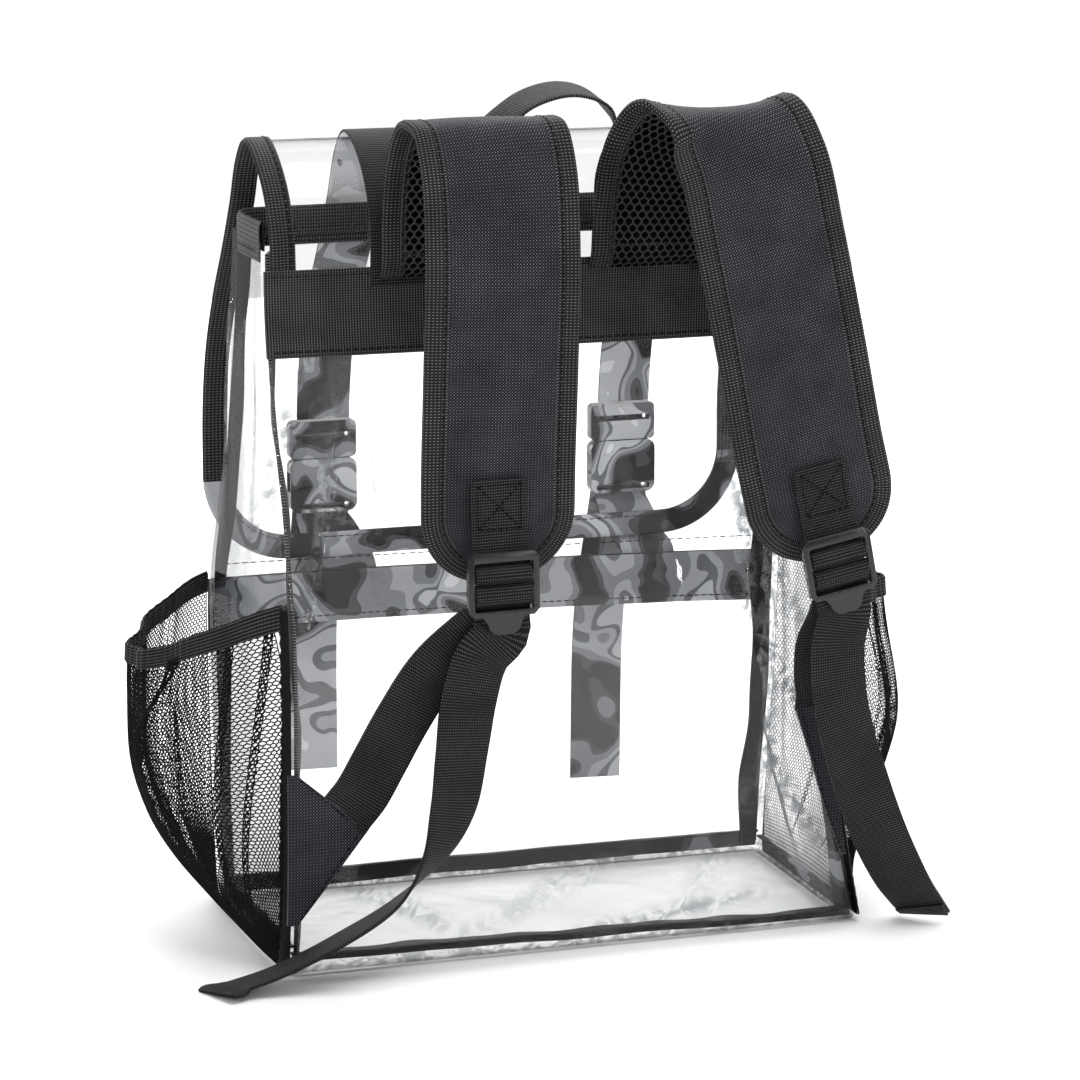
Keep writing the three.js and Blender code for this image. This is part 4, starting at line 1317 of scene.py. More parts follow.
class Tongue:
    """Tongue of film or padding that hangs along a line, with tape folded over its edge."""

    edge: Outline
    binding: float
    binding_thick: float

    def point(self, across: Array, along: Array, outwards: Array) -> Array:
        """Points on or over the tongue.

        Args:
            across: Places across it.
            along: Lengths from its root.
            outwards: Heights over its middle surface.

        Returns:
            One point for each place.
        """
        raise NotImplementedError

    def pressed(self, along: Array) -> Array:
        """Share of its thickness that it has at lengths from its root."""
        return np.ones_like(along)

    def tape(self, u: Array, v: Array) -> Array:
        """Points of the folded tape."""
        depth, height = folded(self.binding, self.binding_thick - TAPE_CLOTH, u)
        across, along = self.edge.inset(v, depth)
        return self.point(across, along, height * self.pressed(along))

    def sew_tape(self, name: str, spots: int, inset: float, lift: float, pitch: float) -> None:
        """Sews the tape down on both sides.

        Args:
            name: What the stitches are named after.
            spots: How many points their line is drawn with.
            inset: How far inside the tape's free edge they run.
            lift: How far they stand off the tape.
            pitch: Distance from stitch to stitch.
        """
        v = np.linspace(0.004, 0.996, spots)
        across, along = self.edge.inset(v, np.full_like(v, self.binding - inset))
        for side, sign in (("outer", 1.0), ("inner", -1.0)):
            row = self.point(across, along, sign * (self.binding_thick / 2 + lift) * self.pressed(along))
            facing = unit(row - self.point(across, along, np.zeros_like(v)))
            sew(f"{name}_stitches_{side}", row, facing, pitch)


@dataclass
class Flap(Tongue):
    """Covering flap: clear film bound with tape, and two buckled straps over it."""

    root_half: float = 155.0
    half: float = 157.0
    widest: float = 70.0
    corner: float = 48.0
    drift: float = -4.0
    film_inset: float = 5.0
    binding: float = 13.0
    binding_thick: float = 3.0
    strap_offset: float = 88.0
    strap_foot: float = 262.5
    buckle_plane: float = 103.5
    buckle_joint: float = 240.0
    buckle_thick: float = 9.0
    socket_height: float = 30.0

    def __post_init__(self) -> None:
        """Draws the flap's side view and its edge in the flat."""
        self.profile = Route([(0, *row) for row in (
            (-37.2, 357), (-37.4, 367.4), (-38, 386), (-30, 407), (-12, 424), (7, 429.5), (22, 417),
            (34, 394), (52, 366), (72, 338), (89, 305), (96, 272), (96, 240), (94, 212), (91.5, 187),
        )])
        self.length = self.profile.length
        self.edge = Outline(self.root_half, self.half, self.widest, self.corner, self.length)

    def point(self, across: Array, along: Array, outwards: Array) -> Array:
        """Points on or over the flap, as any tongue gives them."""
        along = np.clip(along, 0, self.length)
        turn = self.profile.turn(along)
        spot, heading = self.profile.at(turn), self.profile.heading(turn)
        outer = np.column_stack([np.zeros(len(across)), -heading[:, 2], heading[:, 1]])
        spot = spot + outer * np.reshape(outwards, (-1, 1))
        spot[:, 0] = across + self.drift * along / self.length
        return spot

    def film(self, u: Array, v: Array) -> Array:
        """Points of the film, rumpled beside the straps."""
        along = (self.length - self.film_inset) * (1 - (1 - v) ** 1.6)
        x = (2 * u - 1) * self.edge.half_at(along, self.film_inset)
        beside = np.exp(-((np.abs(x) - self.strap_offset) / 34) ** 2)
        tip = 1 - ease(self.length - 40, self.length, along)
        inner = np.sin(math.pi * u) ** 0.5 * ease(0, 40, along) * tip
        waves = 0.9 * uneven(x, along, 60, 41.0) + 1.1 * beside * uneven(x * 1.6, along * 0.8, 22, 44.0)
        return self.point(x, along, waves * inner - 0.4)

    def build(self, pocket: FrontPocket) -> None:
        """Makes the flap, its tape and its straps.

        Args:
            pocket: The pocket whose hem the straps are sewn to.
        """
        size = (312.0, self.length)
        piece = make_sheet(
            "flap_panel_film", (60, 84), self.film, size, [VINYL], ["flap_panel"], FILM
        )
        self.bind()
        self.closing_strap(Side.LEFT, -1, 14, -6.5, 60.5, pocket)
        self.closing_strap(Side.RIGHT, 1, 10, -13.5, 41.5, pocket)

    def bind(self) -> None:
        """Makes the tape folded over the flap's edge, whose inner leg clings to the film."""
        cells = columns, rows = 12, 360
        piece = bent_grid("flap_binding_tape", cells, self.tape, (2 * self.binding, self.edge.length))
        dress(piece, [GROSGRAIN, WET_EDGE], ["flap_binding"])
        # The inner leg gets the clinging finish with its patches of painted reflection
        inner = folded(self.binding, 1.0, (np.arange(columns) + 0.5) / columns)[1] < 0
        piece.data.polygons.foreach_set("material_index", np.tile(inner, rows).astype(np.int32))
        thicken(piece, TAPE_CLOTH, TAPE_EDGE)
        self.sew_tape("flap", 900, 2.5, 0.15, 4.2)

    def closing_strap(
        self, side: Side, sign: int, lean: float, drift: float, bottom: float, pocket: FrontPocket
    ) -> None:
        """Makes one strap with its buckle, sewn end and free tail.

        Args:
            side: Side of the bag.
            sign: -1 on the left, 1 on the right.
            lean: Sideways lean of the webbing under the buckle.
            drift: Sideways drift of the free tail.
            bottom: Height of the tail's end.
            pocket: The pocket whose hem it is sewn to.
        """
        cloths, name = [WEBBING, WET_WEBBING], side.value
        reach = np.linspace(0, self.length, 900)
        heights = self.point(np.zeros(900), reach, np.zeros(900))[:, 2]
        last = float(reach[np.nonzero(heights > self.strap_foot)[0][-1]])
        stand = 0.6 + 5 * GAP + STRAP_THICK / 2

        def over(u: Array, v: Array) -> Array:
            """Points of the strap over the flap."""
            x = sign * self.strap_offset + (u - 0.5) * STRAP_WIDTH
            return self.point(x, lerp(0.2, last, v), stand + 0.3 * uneven(v * last, u * 8, 40, 50 + sign))

        make_sheet(
            f"{name}_flap_strap_webbing", (6, 140), over, (STRAP_WIDTH, last), cloths,
            [f"{name}_flap_strap"], STRAP_THICK, STRAP_EDGE,
        )
        for part in ("prong", "socket"):
            # Faces toward the flap get the clinging finish with its patches of painted reflection
            for face in moulding(f"{name}_buckle_{part}", 0.7, [ACETAL, WET_PLASTIC]).data.polygons:
                face.material_index = 1 if face.normal.y < -0.6 else 0

        x = sign * self.strap_offset + self.drift * last / self.length
        foot = self.buckle_joint - self.socket_height

        def hem_face(place: float, z: float) -> Array:
            """Point on the outer face of the pocket's hem."""
            at = np.array([z])
            right, left = corner_at(Corner.FRONT_RIGHT, at)[0, 0], corner_at(Corner.FRONT_LEFT, at)[0, 0]
            share = np.array([(right - place) / (right - left)])
            off = pocket.stand(share, at) + 5 * GAP + 2.4 + STRAP_THICK / 2
            return wall_point(Wall.FRONT, share, at, off)[0]

        top, low = hem_face(x + lean, pocket.hem_top), hem_face(x + lean, pocket.hem_bottom)
        slope = unit(hem_face(x + lean + 1, pocket.hem_top) - top)
        clear = max(91.5 + 2.4 + 7 * GAP, top[1] + 2)
        strap(f"{name}_lower_strap_webbing", [
            (x, self.buckle_plane, foot - 0.6, 1, 0, 0), (x, self.buckle_plane - 1, foot - 5, 1, 0, 0),
            (x + lean * 0.3, self.buckle_plane - 4, foot - 13, 1, 0, 0),
            (x + lean * 0.7, clear, 187, 1, 0, 0),
            (x + lean, top[1], pocket.hem_top, *slope), (x + lean, low[1], pocket.hem_bottom, *slope),
        ], cloths, [f"{name}_lower_webbing"])
        plane = self.buckle_plane + self.buckle_thick / 2 + GAP + STRAP_THICK / 2
        strap(f"{name}_tail_webbing", [
            (x, plane, self.buckle_joint + 15, 1, 0, 0), (x, plane, self.buckle_joint - 20, 1, 0, 0),
            (x + drift * 0.75, plane + 2, (self.buckle_joint + bottom) / 2, 1, 0, 0),
            (x + drift, plane - 1, bottom, 1, 0, 0),
        ], cloths, [f"{name}_strap_tail"], hem=14.0)


@dataclass
class BackBand:
    """Wide webbing across the top of the back, with the carrying loop sewn under it."""

    bottom: float = 322.0
    top: float = 367.0

    def place(self, u: Array, v: Array) -> Array:
        """Points of the band."""
        share = 0.001 + 0.998 * u
        z = lerp(self.bottom, self.top, v)
        return wall_point(Wall.BACK, share, z, 1.5 + 0.35 * uneven(share * 310, z, 70, 61.0))

    def build(self) -> None:
        """Makes the band with its stitches, and the loop."""
        make_sheet(
            "back_webbing_band", (110, 8), self.place, (self.top - self.bottom, 312.0), [BAND],
            ["back_webbing"], STRAP_THICK, STRAP_EDGE, turned=True,
        )
        u = np.linspace(0.01, 0.99, 300)
        facing = facing_y(-1, len(u))
        for name, v in (("lower", 0.07), ("upper", 0.93)):
            row = self.place(u, np.full_like(u, v)) + facing * (STRAP_THICK / 2 + 0.15)
            sew(f"back_band_stitches_{name}", row, facing)
        strap("haul_handle_webbing", [
            (-33, -39.5, 367.6, 1, 0, 0), (-34, -40, 398, 1, 0, 0), (-34, -35.5, 416, 0.87, -0.5, 0),
            (-33, -33, 434, 0.4, -0.9, 0), (-19, -32, 448, 0, -0.99, -0.14),
            (6, -31.5, 454.5, 0, -0.99, -0.14),
            (25, -32, 448, 0, -0.99, -0.14), (34, -33, 432, -0.4, -0.9, 0), (34, -35.5, 416, -0.87, -0.5, 0),
            (34, -40, 398, -1, 0, 0), (33, -39.5, 367.6, -1, 0, 0),
        ], [WEBBING], ["haul_handle"])


@dataclass
class Pleat:
    """Fold where the mesh lies three layers deep: shares along the wall at mouth, middle and foot."""

    top: float
    middle: float
    foot: float
    width: float
    start: float = 0.05
    end: float = 1.2
    depth: float = 1.3

    def fold(self, share: Array, rise: Array) -> tuple[Array, Array]:
        """How the cloth slides and lifts in the fold.

        Args:
            share: Places along the wall.
            rise: Places from the foot to the mouth.

        Returns:
            Slide along the wall as a share, and lift off the pocket in millimetres.
        """
        centre = Table([(0, self.foot), (0.5, self.middle), (1, self.top)]).at(rise)[:, 0]
        x = (share - centre) / self.width
        strength = ease(self.start, self.start + 0.15, rise) * (1 - ease(self.end - 0.15, self.end, rise))
        slide = -2.1 * strength * self.width * x * np.exp(-x * x)
        return slide, self.depth * strength * x * np.exp(-x * x / 2)


@dataclass
class SidePocket:
    """Knitted mesh pocket, bellied out and gathered into folds by the elastic along its mouth."""

    side: Side
    wall: Wall
    depth: float
    mouth_start: float
    mouth_end: float
    mouth_dip: float
    pull: float
    cut: tuple[float, float]
    yarn: float
    pleats: Sequence[Pleat]
    folds: int = 5
    fold_depth: float = 2.6
    cells: tuple[int, int] = (184, 48)
    course_wave: float = 0.12
    knit_top: float = 0.945
    tape_width: float = 12.0
    tall: float = 185.0
    swell: Table = Table([
        (0, 0.06), (0.12, 0.34), (0.26, 0.64), (0.4, 0.86), (0.56, 1), (0.85, 1), (1, 0.97),
    ])

    def point(self, share: Array, rise: Array, folded_over: bool = False) -> Array:
        """Points of the pocket.

        Args:
            share: Places from the wall's first corner to its last.
            rise: Places from the foot to the mouth.
            folded_over: Whether the cloth lies in its pleats.

        Returns:
            One point for each place.
        """
        slide, lift = np.zeros_like(share), np.zeros_like(share)
        for pleat in self.pleats if folded_over else ():
            step, height = pleat.fold(share, rise)
            slide, lift = slide + step, lift + height
        wave = np.cos(TURN * self.folds * share)
        share = np.clip(share + slide, 0, 1)
        arch = np.sin(math.pi * share)
        mouth = lerp(self.mouth_start, self.mouth_end, share) - self.mouth_dip * arch
        z = lerp(2.5, mouth, rise)
        belly = self.depth * (1 - self.pull * ease(0.5, 1, rise)) * self.swell.at(rise)[:, 0] * arch**0.75
        reach = wall_length(self.wall, z)
        along = lerp(3.0, reach - 3.0, share) / reach
        out = np.maximum(belly + self.fold_depth * arch * rise * wave, 0.8)
        return wall_point(self.wall, along, z, 0.9 + out + lift)

    def build(self) -> None:
        """Makes the mesh, the elastic and the edge sewn into the back seam."""
        self.mesh()
        name = self.side.value
        make_sheet(
            f"{name}_pocket_elastic_tape", (12, 220), self.elastic, (2 * self.tape_width, 250.0),
            [ELASTIC], [f"{name}_pocket_elastic"], TAPE_CLOTH, TAPE_EDGE,
        )
        make_sheet(
            f"{name}_pocket_seam_edge", (6, 120), self.sewn_edge, (14.0, 190.0), [KNIT], (), 0.9,
            TAPE_EDGE,
        )

    def mesh(self) -> None:
        """Makes the knitting in a lower and an upper half."""
        (columns, rows), (width, height) = self.cells, self.cut
        shares = np.linspace(0, 1, 400)
        reach = lengths(self.point(shares, np.full(400, 0.6)))
        for part, low in (("lower", 0.0), ("upper", 0.5)):
            def knit(u: Array, v: Array) -> Array:
                """Points of the knitting: courses run zigzag, and loops are even round the pocket."""
                step = zigzag(u, v, self.cells) * self.course_wave / rows
                share = np.interp(u * reach[-1], reach, shares)
                return self.point(share, np.clip(low + v / 2 + step, 0, 1) * self.knit_top, True)

            piece = make_net(
                f"{self.side.value}_mesh_pocket_{part}_knit", self.cells, knit, self.cut, KNIT,
                [f"{self.side.value}_mesh_pocket"], self.yarn,
            )

    def elastic(self, u: Array, v: Array) -> Array:
        """Points of the tape folded over the mouth, with the elastic in it."""
        depth, height = folded(self.tape_width, 1.8, u)
        rise, step = 1 - depth / self.tall, 0.002
        along = self.point(np.minimum(v + step, 1), rise) - self.point(np.maximum(v - step, 0), rise)
        up = self.point(v, np.minimum(rise + step, 1)) - self.point(v, rise - step)
        pucker = 0.5 * np.sin(v * TURN * 38) * np.sin(math.pi * v)
        return self.point(v, rise) + unit(np.cross(along, up)) * (height + pucker)[:, None]

    def sewn_edge(self, u: Array, v: Array) -> Array:
        """Points of the mesh's turned edge, sewn into the back seam."""
        on_left = self.side is Side.LEFT
        z = lerp(4.0, 0.99 * (self.mouth_end if on_left else self.mouth_start), v)
        reach = wall_length(self.wall, z)
        wide = 9.0 + 7.0 * (1 - ease(0.35, 0.75, v)) + 2.0 * uneven(v * 200, u * 0, 24, 91.0)
        off = u * (wide + 1.6) - 1.6
        share = (reach - off if on_left else off) / reach
        ruck = 0.6 * np.sin(v * TURN * 30) * u
        return wall_point(self.wall, share, z, 0.9 + 2.4 * np.sin(math.pi * u) + ruck)


@dataclass
class ShoulderStrap(Tongue):
    """Padded shoulder strap with its ladder lock, adjuster webbing and sewn-in corner."""

    side: Side
    lock: tuple[float, float, float]
    line: Sequence[tuple[float, float, float]]
    run: Sequence[tuple[float, ...]]
    tail: Sequence[tuple[float, ...]]
    anchor: Sequence[tuple[float, float, float]]
    dents: Sequence[tuple[float, float, float, float]]
    tail_hem: float
    root_half: float = 40.0
    half: float = 41.0
    widest: float = 60.0
    corner: float = 37.0
    binding: float = 12.0
    binding_thick: float = 6.0
    lock_plane: float = -118.0
    net_cells: tuple[int, int] = (26, 110)
    tab_half: float = 11.5
    tab_low: float = 46.5
    tab_high: float = 69.5

    def __post_init__(self) -> None:
        """Draws the pad's middle line and its edge in the flat."""
        first = self.line[0]
        self.route = Route([(first[0], -39.6, first[2] - 7), *self.line])
        self.length = self.route.length
        self.edge = Outline(self.root_half, self.half, self.widest, self.corner, self.length)

    def named(self, part: str) -> str:
        """Name of a part on this strap's side."""
        return f"{self.side.value}_{part}"

    def point(self, across: Array, along: Array, outwards: Array) -> Array:
        """Points on or over the pad, as any tongue gives them."""
        turn = self.route.turn(np.clip(along, 0, self.length))
        heading = self.route.heading(turn)
        side = unit(np.array([1.0, 0, 0]) - heading * heading[:, :1])
        outer = np.cross(heading, side)
        return self.route.at(turn) + side * across[:, None] + outer * np.reshape(outwards, (-1, 1))

    def pressed(self, along: Array) -> Array:
        """Share of its thickness that the pad has at lengths from its sewn root."""
        return np.interp(along, (0, 6, 14, 66), (0.15, 0.25, 0.6, 1.0))

    def flat_spot(self, u: Array, v: Array, inset: float, start: float = 0.0) -> tuple[Array, Array]:
        """Flat places inside the edge.

        Args:
            u: Places from 0 to 1 across.
            v: Places from 0 to 1 along.
            inset: How far inside the edge they stop.
            start: How far from the root they begin.

        Returns:
            Place across and place along.
        """
        along = start + (self.length - inset - start) * (1 - (1 - v) ** 1.15)
        return (1 - 2 * u) * self.edge.half_at(along, inset), along

    def build(self) -> None:
        """Makes the pad, its trim and its hardware."""
        self.cover()
        self.lining()
        make_sheet(
            self.named("pad_binding_tape"), (14, 330), self.tape, (2 * self.binding, self.edge.length),
            [GROSGRAIN], [self.named("pad_binding")], TAPE_CLOTH, TAPE_EDGE,
        )
        self.sew_tape(self.named("pad"), 800, 2.2, 0.1, 3.8)
        self.hardware()
        self.gusset()

    def cover(self) -> None:
        """Makes the woven cover, swollen by the foam under it."""
        inset = self.binding - 3.5

        def place(u: Array, v: Array) -> Array:
            """Points of the cover before it swells."""
            across, along = self.flat_spot(u, v, inset, 14.0)
            crown = 1 - (2 * u - 1) ** 2
            height = lerp(1.8, lerp(2.6, 4.3, crown), np.minimum(v * 6, 1))
            for at, slope, depth, width in self.dents:
                off = (along - at - slope * across) / width
                height = height - depth * crown * np.exp(-off**2)
            waves = 0.9 * uneven(across * 0.7, along, 30, 70 + len(self.side.value)) * crown
            return self.point(across, along, height + waves)

        piece = bent_grid(self.named("pad_cover_cloth"), (22, 150), place, (65.0, self.length))
        dress(piece, [CANVAS], [self.named("pad_cover")])
        swell(piece, 4.0, 2.4)
        modify(piece, "SOLIDIFY", thickness=3.4 * MM, offset=-1.0, use_even_offset=False)
        smooth(piece, 60)

    def lining(self) -> None:
        """Makes the air mesh on the inner side: a backing cloth and the net of holes over it."""
        inset, size = self.binding - 3.0, (60.0, self.length)

        def inner(u: Array, v: Array, spot: tuple[Array, Array], depth: float) -> Array:
            """Points of a layer at a depth, crowned over the pad and pressed at its root."""
            crown = 1 - (2 * u - 1) ** 2
            return self.point(*spot, (-depth - 1.2 * crown * np.minimum(v * 6, 1)) * self.pressed(spot[1]))

        def backing(u: Array, v: Array) -> Array:
            """Points of the backing."""
            return inner(u, v, self.flat_spot(u, v, inset), 1.6)

        def net(u: Array, v: Array) -> Array:
            """Points of the net, whose courses run zigzag."""
            lift = zigzag(u, v, self.net_cells) * 0.24 / self.net_cells[1]
            return inner(u, v, self.flat_spot(u, np.clip(v + lift, 0, 1), inset + 0.5), 3.0)

        make_sheet(
            self.named("pad_lining_backing"), (12, 90), backing, size, [BACKING],
            [self.named("pad_lining")], 1.0,
        )
        make_net(self.named("pad_lining_net"), self.net_cells, net, size, AIR_MESH, (), 1.35)

    def at_lock(self, rows: Iterable[tuple[float, float]]) -> list[tuple[float, ...]]:
        """Route rows in the leaning lock's own plane, as rows of the bag."""
        x, z, tilt = self.lock
        cosine, sine = math.cos(math.radians(tilt)), math.sin(math.radians(tilt))
        return [(x - up * sine, self.lock_plane + out, z + up * cosine, cosine, 0, sine) for out, up in rows]

    def hardware(self) -> None:
        """Makes the tab, the ladder lock and the adjuster webbing threaded through it."""
        strap(self.named("pad_tab_webbing"), self.at_lock((
            (4.7, 72), (5.2, 56), (4.9, 46), (4.3, 39), (3.7, 34), (3.2, 30.4), (1.4, 28.1), (-1.2, 26.9),
            (-2.9, 25.4), (-3.4, 23.3), (-2.9, 21.2), (-1.2, 19.9), (1.6, 19.8),
        )), [WEBBING], [self.named("pad_tab")])
        first, second = np.array(self.run[0]), np.array(self.run[1])
        sewn = first + (first - second) * [1, 0.3, 1, 0, 0, 0] * 0.5
        strap(self.named("adjuster_webbing"), [tuple(sewn), *self.run, *self.at_lock((
            (6, 2), (5.7, 9), (4.6, 14.2), (3, 17), (1.2, 17.7), (-1.2, 17.6), (-3, 16.3), (-3.4, 14),
            (-3, 11.4), (-1.4, 9.4), (0.8, 7.9), (2.9, 6), (3.6, 3.2), (3.7, -1), (3.9, -8),
        )), *self.tail], [WEBBING], [self.named("adjuster_strap")], hem=self.tail_hem)
        moulding(self.named("ladder_lock"), 1.1, [ACETAL])
        half, low, high = self.tab_half, self.tab_low, self.tab_high
        corners = np.array([
            (-half, low), (half, low), (half, high), (-half, high), (-half, low), (half, high), (half, low),
            (-half, high),
        ])
        share = np.linspace(0, 1, 30)[:, None]
        flat = np.vstack([lerp(start, end, share) for start, end in zip(corners[:-1], corners[1:])])
        out = np.interp(flat[:, 1], (46, 56, 72), (4.9, 5.2, 4.7)) - STRAP_THICK / 2 - 0.15
        rows = np.array(self.at_lock(zip(out, flat[:, 1])))
        line = rows[:, :3] + flat[:, :1] * rows[:, 3:]
        sew(self.named("tab_stitches"), line, facing_y(-1, len(line)), 3.4)

    def gusset(self) -> None:
        """Makes the fabric corner that the adjuster is sewn into."""
        table, on_left = np.array(self.anchor), self.side is Side.LEFT

        def place(u: Array, v: Array) -> Array:
            """Points of the corner, between its two edges."""
            z, near, far = (np.interp(v, np.linspace(0, 1, len(table)), table[:, k]) for k in range(3))
            reach = wall_length(Wall.BACK, z)
            share = lerp(near - 3.2, far, u) / reach if on_left else 1 - lerp(far, near, u) / reach
            return wall_point(Wall.BACK, share, z, 1.8 + 0.3 * uneven(u * 40, v * 80, 18, 81.0))

        make_sheet(
            self.named("strap_anchor_cloth"), (10, 40), place, None, [CANVAS],
            [self.named("strap_anchor")], 2.2, 0.6,
        )
        v = np.linspace(0.03, 0.97, 120)
        facing = facing_y(-1, len(v))
        line = place(np.full_like(v, 0.9 if on_left else 0.1), v) + facing * 1.2
        sew(self.named("anchor_stitches"), line, facing, 3.6)


@dataclass
class Studio:
    """Pale floor, soft lamps and the photograph's camera."""

    azimuth: float = -18.275
    elevation: float = 12.032
    distance: float = 2271.1
    target: tuple[float, float, float] = (2.397, 0.0, 207.787)
    lens: float = 140.0
    sensor: float = 36.0

    def build(self) -> None:
        """Sets up the camera, floor and lamps."""
        self.camera()
        bpy.ops.object.select_all(action="DESELECT")
        bpy.ops.mesh.primitive_plane_add(size=4.4)
        floor = bpy.context.object
        floor.name = "studio_floor"
        for vertex in floor.data.vertices:
            vertex.co.z = -0.0004
        floor.data.materials.append(PAPER.material())
        scene = bpy.context.scene
        scene.world = bpy.data.worlds.new("studio")
        scene.world.use_nodes = True
        self.room(scene.world.node_tree)
        bag = (0, 0, 0.2)
        self.lamp("top lamp", (0.2, -0.6, 2.2), bag, 1.6, 35)
        self.lamp("floor lamp", (0.6, 2.1, 2.0), (0.6, 2.1, 0), 2.6, 76)
        self.lamp("left lamp", (-2.3, -0.5, 1.3), bag, 1.3, 26)
        self.lamp("right lamp", (2.3, -0.7, 1.1), bag, 1.1, 18)
        self.lamp("left strip", (-1.5, -1.7, 0.9), bag, 0.03, 10, 1.6)
        self.lamp("right strip", (1.2, -2.1, 0.8), bag, 0.03, 8, 1.5)
        self.lamp("rear strip", (-1.1, 2.2, 0.7), bag, 0.04, 12, 1.4)
        scene.view_settings.view_transform = "Standard"
        scene.cycles.transparent_max_bounces = 64
        scene.cycles.max_bounces = 7
        scene.cycles.glossy_bounces = 2

    def room(self, tree: Tree) -> None:
        """White surroundings, with a darker room behind the camera.

        Args:
            tree: The world's node tree.
        """
        across = math.radians(self.azimuth)
        dark_side = (math.sin(across), -math.cos(across), 0.0)
        facing = add(tree, "VectorMath", {
            0: add(tree, "TexCoord").outputs["Generated"], 1: dark_side,
        }, operation="DOT_PRODUCT").outputs["Value"]
        light = add(tree, "MapRange", {
            "Value": facing, "From Min": -0.75, "From Max": -0.1, "To Min": 1.02, "To Max": 0.14,
        }, interpolation_type="SMOOTHSTEP").outputs[0]
        # What is seen beyond the floor is white from every side
        seen = maths(tree, "MAXIMUM", light, add(tree, "LightPath").outputs["Is Camera Ray"])
        shell = tree.nodes["Background"]
        shell.inputs["Color"].default_value = linear("#ffffff")
        tree.links.new(seen, shell.inputs["Strength"])

    def camera(self) -> None:
        """Places the camera where the photograph was taken from."""
        across, up = math.radians(self.azimuth), math.radians(self.elevation)
        back = Vector((math.sin(across) * math.cos(up), -math.cos(across) * math.cos(up), math.sin(up)))
        data = bpy.data.cameras.new("photograph camera")
        data.lens, data.sensor_width = self.lens, self.sensor
        data.clip_end = 50.0
        camera = bpy.data.objects.new("photograph camera", data)
        bpy.context.scene.collection.objects.link(camera)
        camera.location = (Vector(self.target) + back * self.distance) * MM
        camera.rotation_euler = back.to_track_quat("Z", "Y").to_euler()
        bpy.context.scene.camera = camera

    def lamp(
        self, name: str, place: Sequence[float], target: Sequence[float], size: float, power: float,
        height: float = 0.0,
    ) -> None:
        """Hangs a soft lamp.

        Args:
            name: Its name.
            place: Where it hangs, in metres.
            target: What it points at.
            size: Its width, in metres.
            power: Its power in watts.
            height: Its height in metres, where it isn't square.
        """
        data = bpy.data.lights.new(name, "AREA")
        data.size, data.energy = size, power
        if height:
            data.shape, data.size_y = "RECTANGLE", height
        lamp = bpy.data.objects.new(name, data)
        bpy.context.scene.collection.objects.link(lamp)
        lamp.location = place
        lamp.rotation_euler = (Vector(place) - Vector(target)).to_track_quat("Z", "Y").to_euler()


LEFT_STRAP = ShoulderStrap(
    Side.LEFT, lock=(-56, 194, 1),
    line=[
        (-58, -44.6, 367.8), (-58, -48, 395), (-56.5, -54, 424), (-54.5, -65, 440.5), (-51.5, -82, 440),
        (-50, -93.5, 420), (-50, -99.5, 378), (-53, -105, 320), (-55, -106.5, 270), (-55, -105.5, 238),
        (-54, -102.5, 211),
    ],
    run=[
        (-130.6, -86.1, 90.6, 0.78, 0, -0.63), (-124, -88, 99.5, 0.78, 0, -0.63),
        (-115, -91, 117, 0.84, 0, -0.54), (-103, -97, 142, 0.88, 0, -0.47), (-88, -103, 167, 0.88, 0, -0.47),
        (-68, -109.5, 187, 0.96, 0, -0.28),
    ],
    tail=[
        (-66, -112.5, 174, 1, 0, 0), (-72, -109.5, 152, 1, 0, 0), (-75.5, -107, 122, 0.98, 0.17, 0.05),
        (-79.5, -105.5, 93, 0.93, 0.33, 0.1), (-89, -104.5, 68, 0.74, 0.67, 0),
        (-109, -102, 44, 0.36, 0.93, -0.04), (-142, -98.5, 24, 0.25, 0.96, -0.05),
        (-172, -92, 9, 0.3, 0.95, -0.05), (-191, -90, 3.2, 0.55, 0.83, 0), (-205, -96, 2.2, 0.66, 0.75, 0),
    ],
    anchor=[(30, 0.5, 3), (55, 0.5, 21.5), (80, 0.5, 40.5), (99, 0.5, 17), (112, 0.5, 2)],
    dents=[(128, -0.1, 1.3, 11), (172, 0.25, 1.6, 13), (205, -0.2, 1.2, 12), (300, -0.2, 1.0, 20)],
    tail_hem=0.0,
)
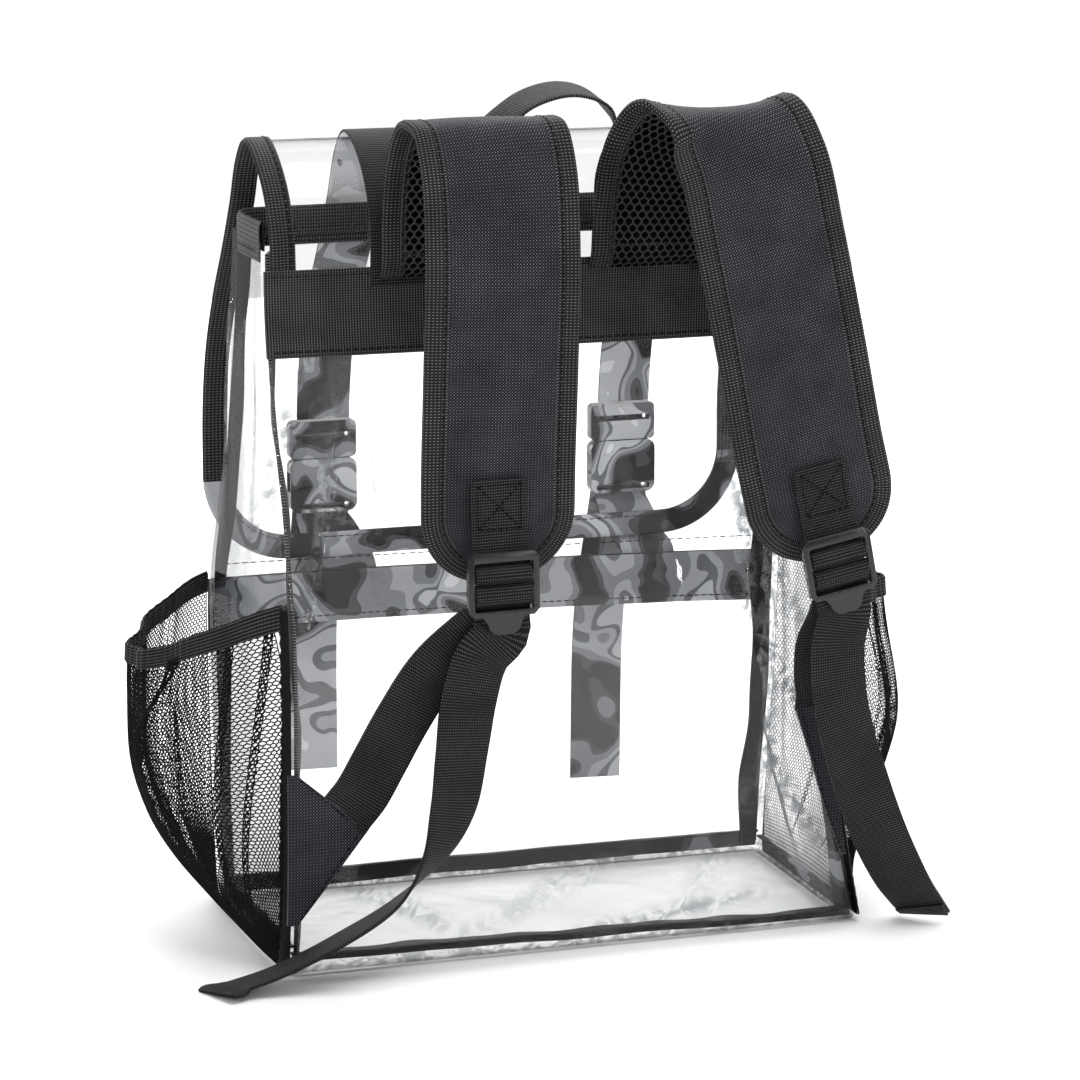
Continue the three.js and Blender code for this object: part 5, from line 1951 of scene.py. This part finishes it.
RIGHT_STRAP = ShoulderStrap(
    Side.RIGHT, lock=(132, 192, 11),
    line=[
        (56, -44.6, 367.8), (57, -48, 395), (61, -54, 424), (69, -65, 440.5), (79, -82, 441),
        (87, -93.5, 421), (95, -99.5, 380), (106, -105, 320), (115, -106.5, 272), (123, -105.5, 238),
        (128, -102.5, 211),
    ],
    run=[
        (133.5, -83.8, 127.4, 1, 0, 0), (133.2, -86, 134, 1, 0, 0), (130, -91, 145, 1, 0, 0),
        (127, -100, 165, 1, 0, 0), (130, -108.5, 183, 0.98, 0, 0.15),
    ],
    tail=[
        (131, -112.5, 166, 1, 0, 0), (133, -110, 140, 1, 0, 0), (139, -108, 114, 1, 0, 0),
        (148, -105, 88, 0.99, -0.12, 0), (162, -100, 55, 0.95, -0.3, 0), (178, -93.5, 27, 0.88, -0.47, 0),
        (187.5, -89, 14.5, 0.83, -0.55, 0), (193.5, -85.8, 7.4, 0.8, -0.6, 0),
        (196.2, -83.6, 4.6, 0.78, -0.62, 0),
    ],
    anchor=[(40, 0.5, 3), (70, 0, 9), (100, -4, 14), (126, -9, 20.5)],
    dents=[(150, 0.5, 2.0, 10), (176, 0.45, 2.4, 9), (214, 0.5, 2.0, 9), (260, 0.4, 1.0, 14)],
    tail_hem=-8.0,
)
LEFT_POCKET = SidePocket(Side.LEFT, Wall.LEFT, 57.0, 184.0, 200.0, 28.0, 0.0, (245.0, 98.0), 0.82, [
    Pleat(0.76, 0.46, 0.36, 0.04, 0.3), Pleat(0.72, 0.74, 0.66, 0.012, 0.1, 0.85),
    Pleat(0.9, 0.85, 0.76, 0.022), Pleat(0.985, 0.93, 0.82, 0.018), Pleat(0.25, 0.3, 0.34, 0.014),
    Pleat(0.1, 0.16, 0.2, 0.012),
])
RIGHT_POCKET = SidePocket(Side.RIGHT, Wall.RIGHT, 49.0, 190.0, 188.0, 8.0, 0.24, (225.0, 99.0), 0.46, [
    Pleat(0.66, 0.62, 0.56, 0.02), Pleat(0.9, 0.86, 0.8, 0.014),
])


def main() -> None:
    """Builds the bag piece by piece."""
    logging.basicConfig(level=logging.INFO, format="%(message)s")
    Studio().build()
    Body().build()
    pocket = FrontPocket()
    pocket.build()
    Flap().build(pocket)
    for part in (BackBand(), LEFT_POCKET, RIGHT_POCKET, LEFT_STRAP, RIGHT_STRAP):
        part.build()


if __name__ == "__main__":
    main()
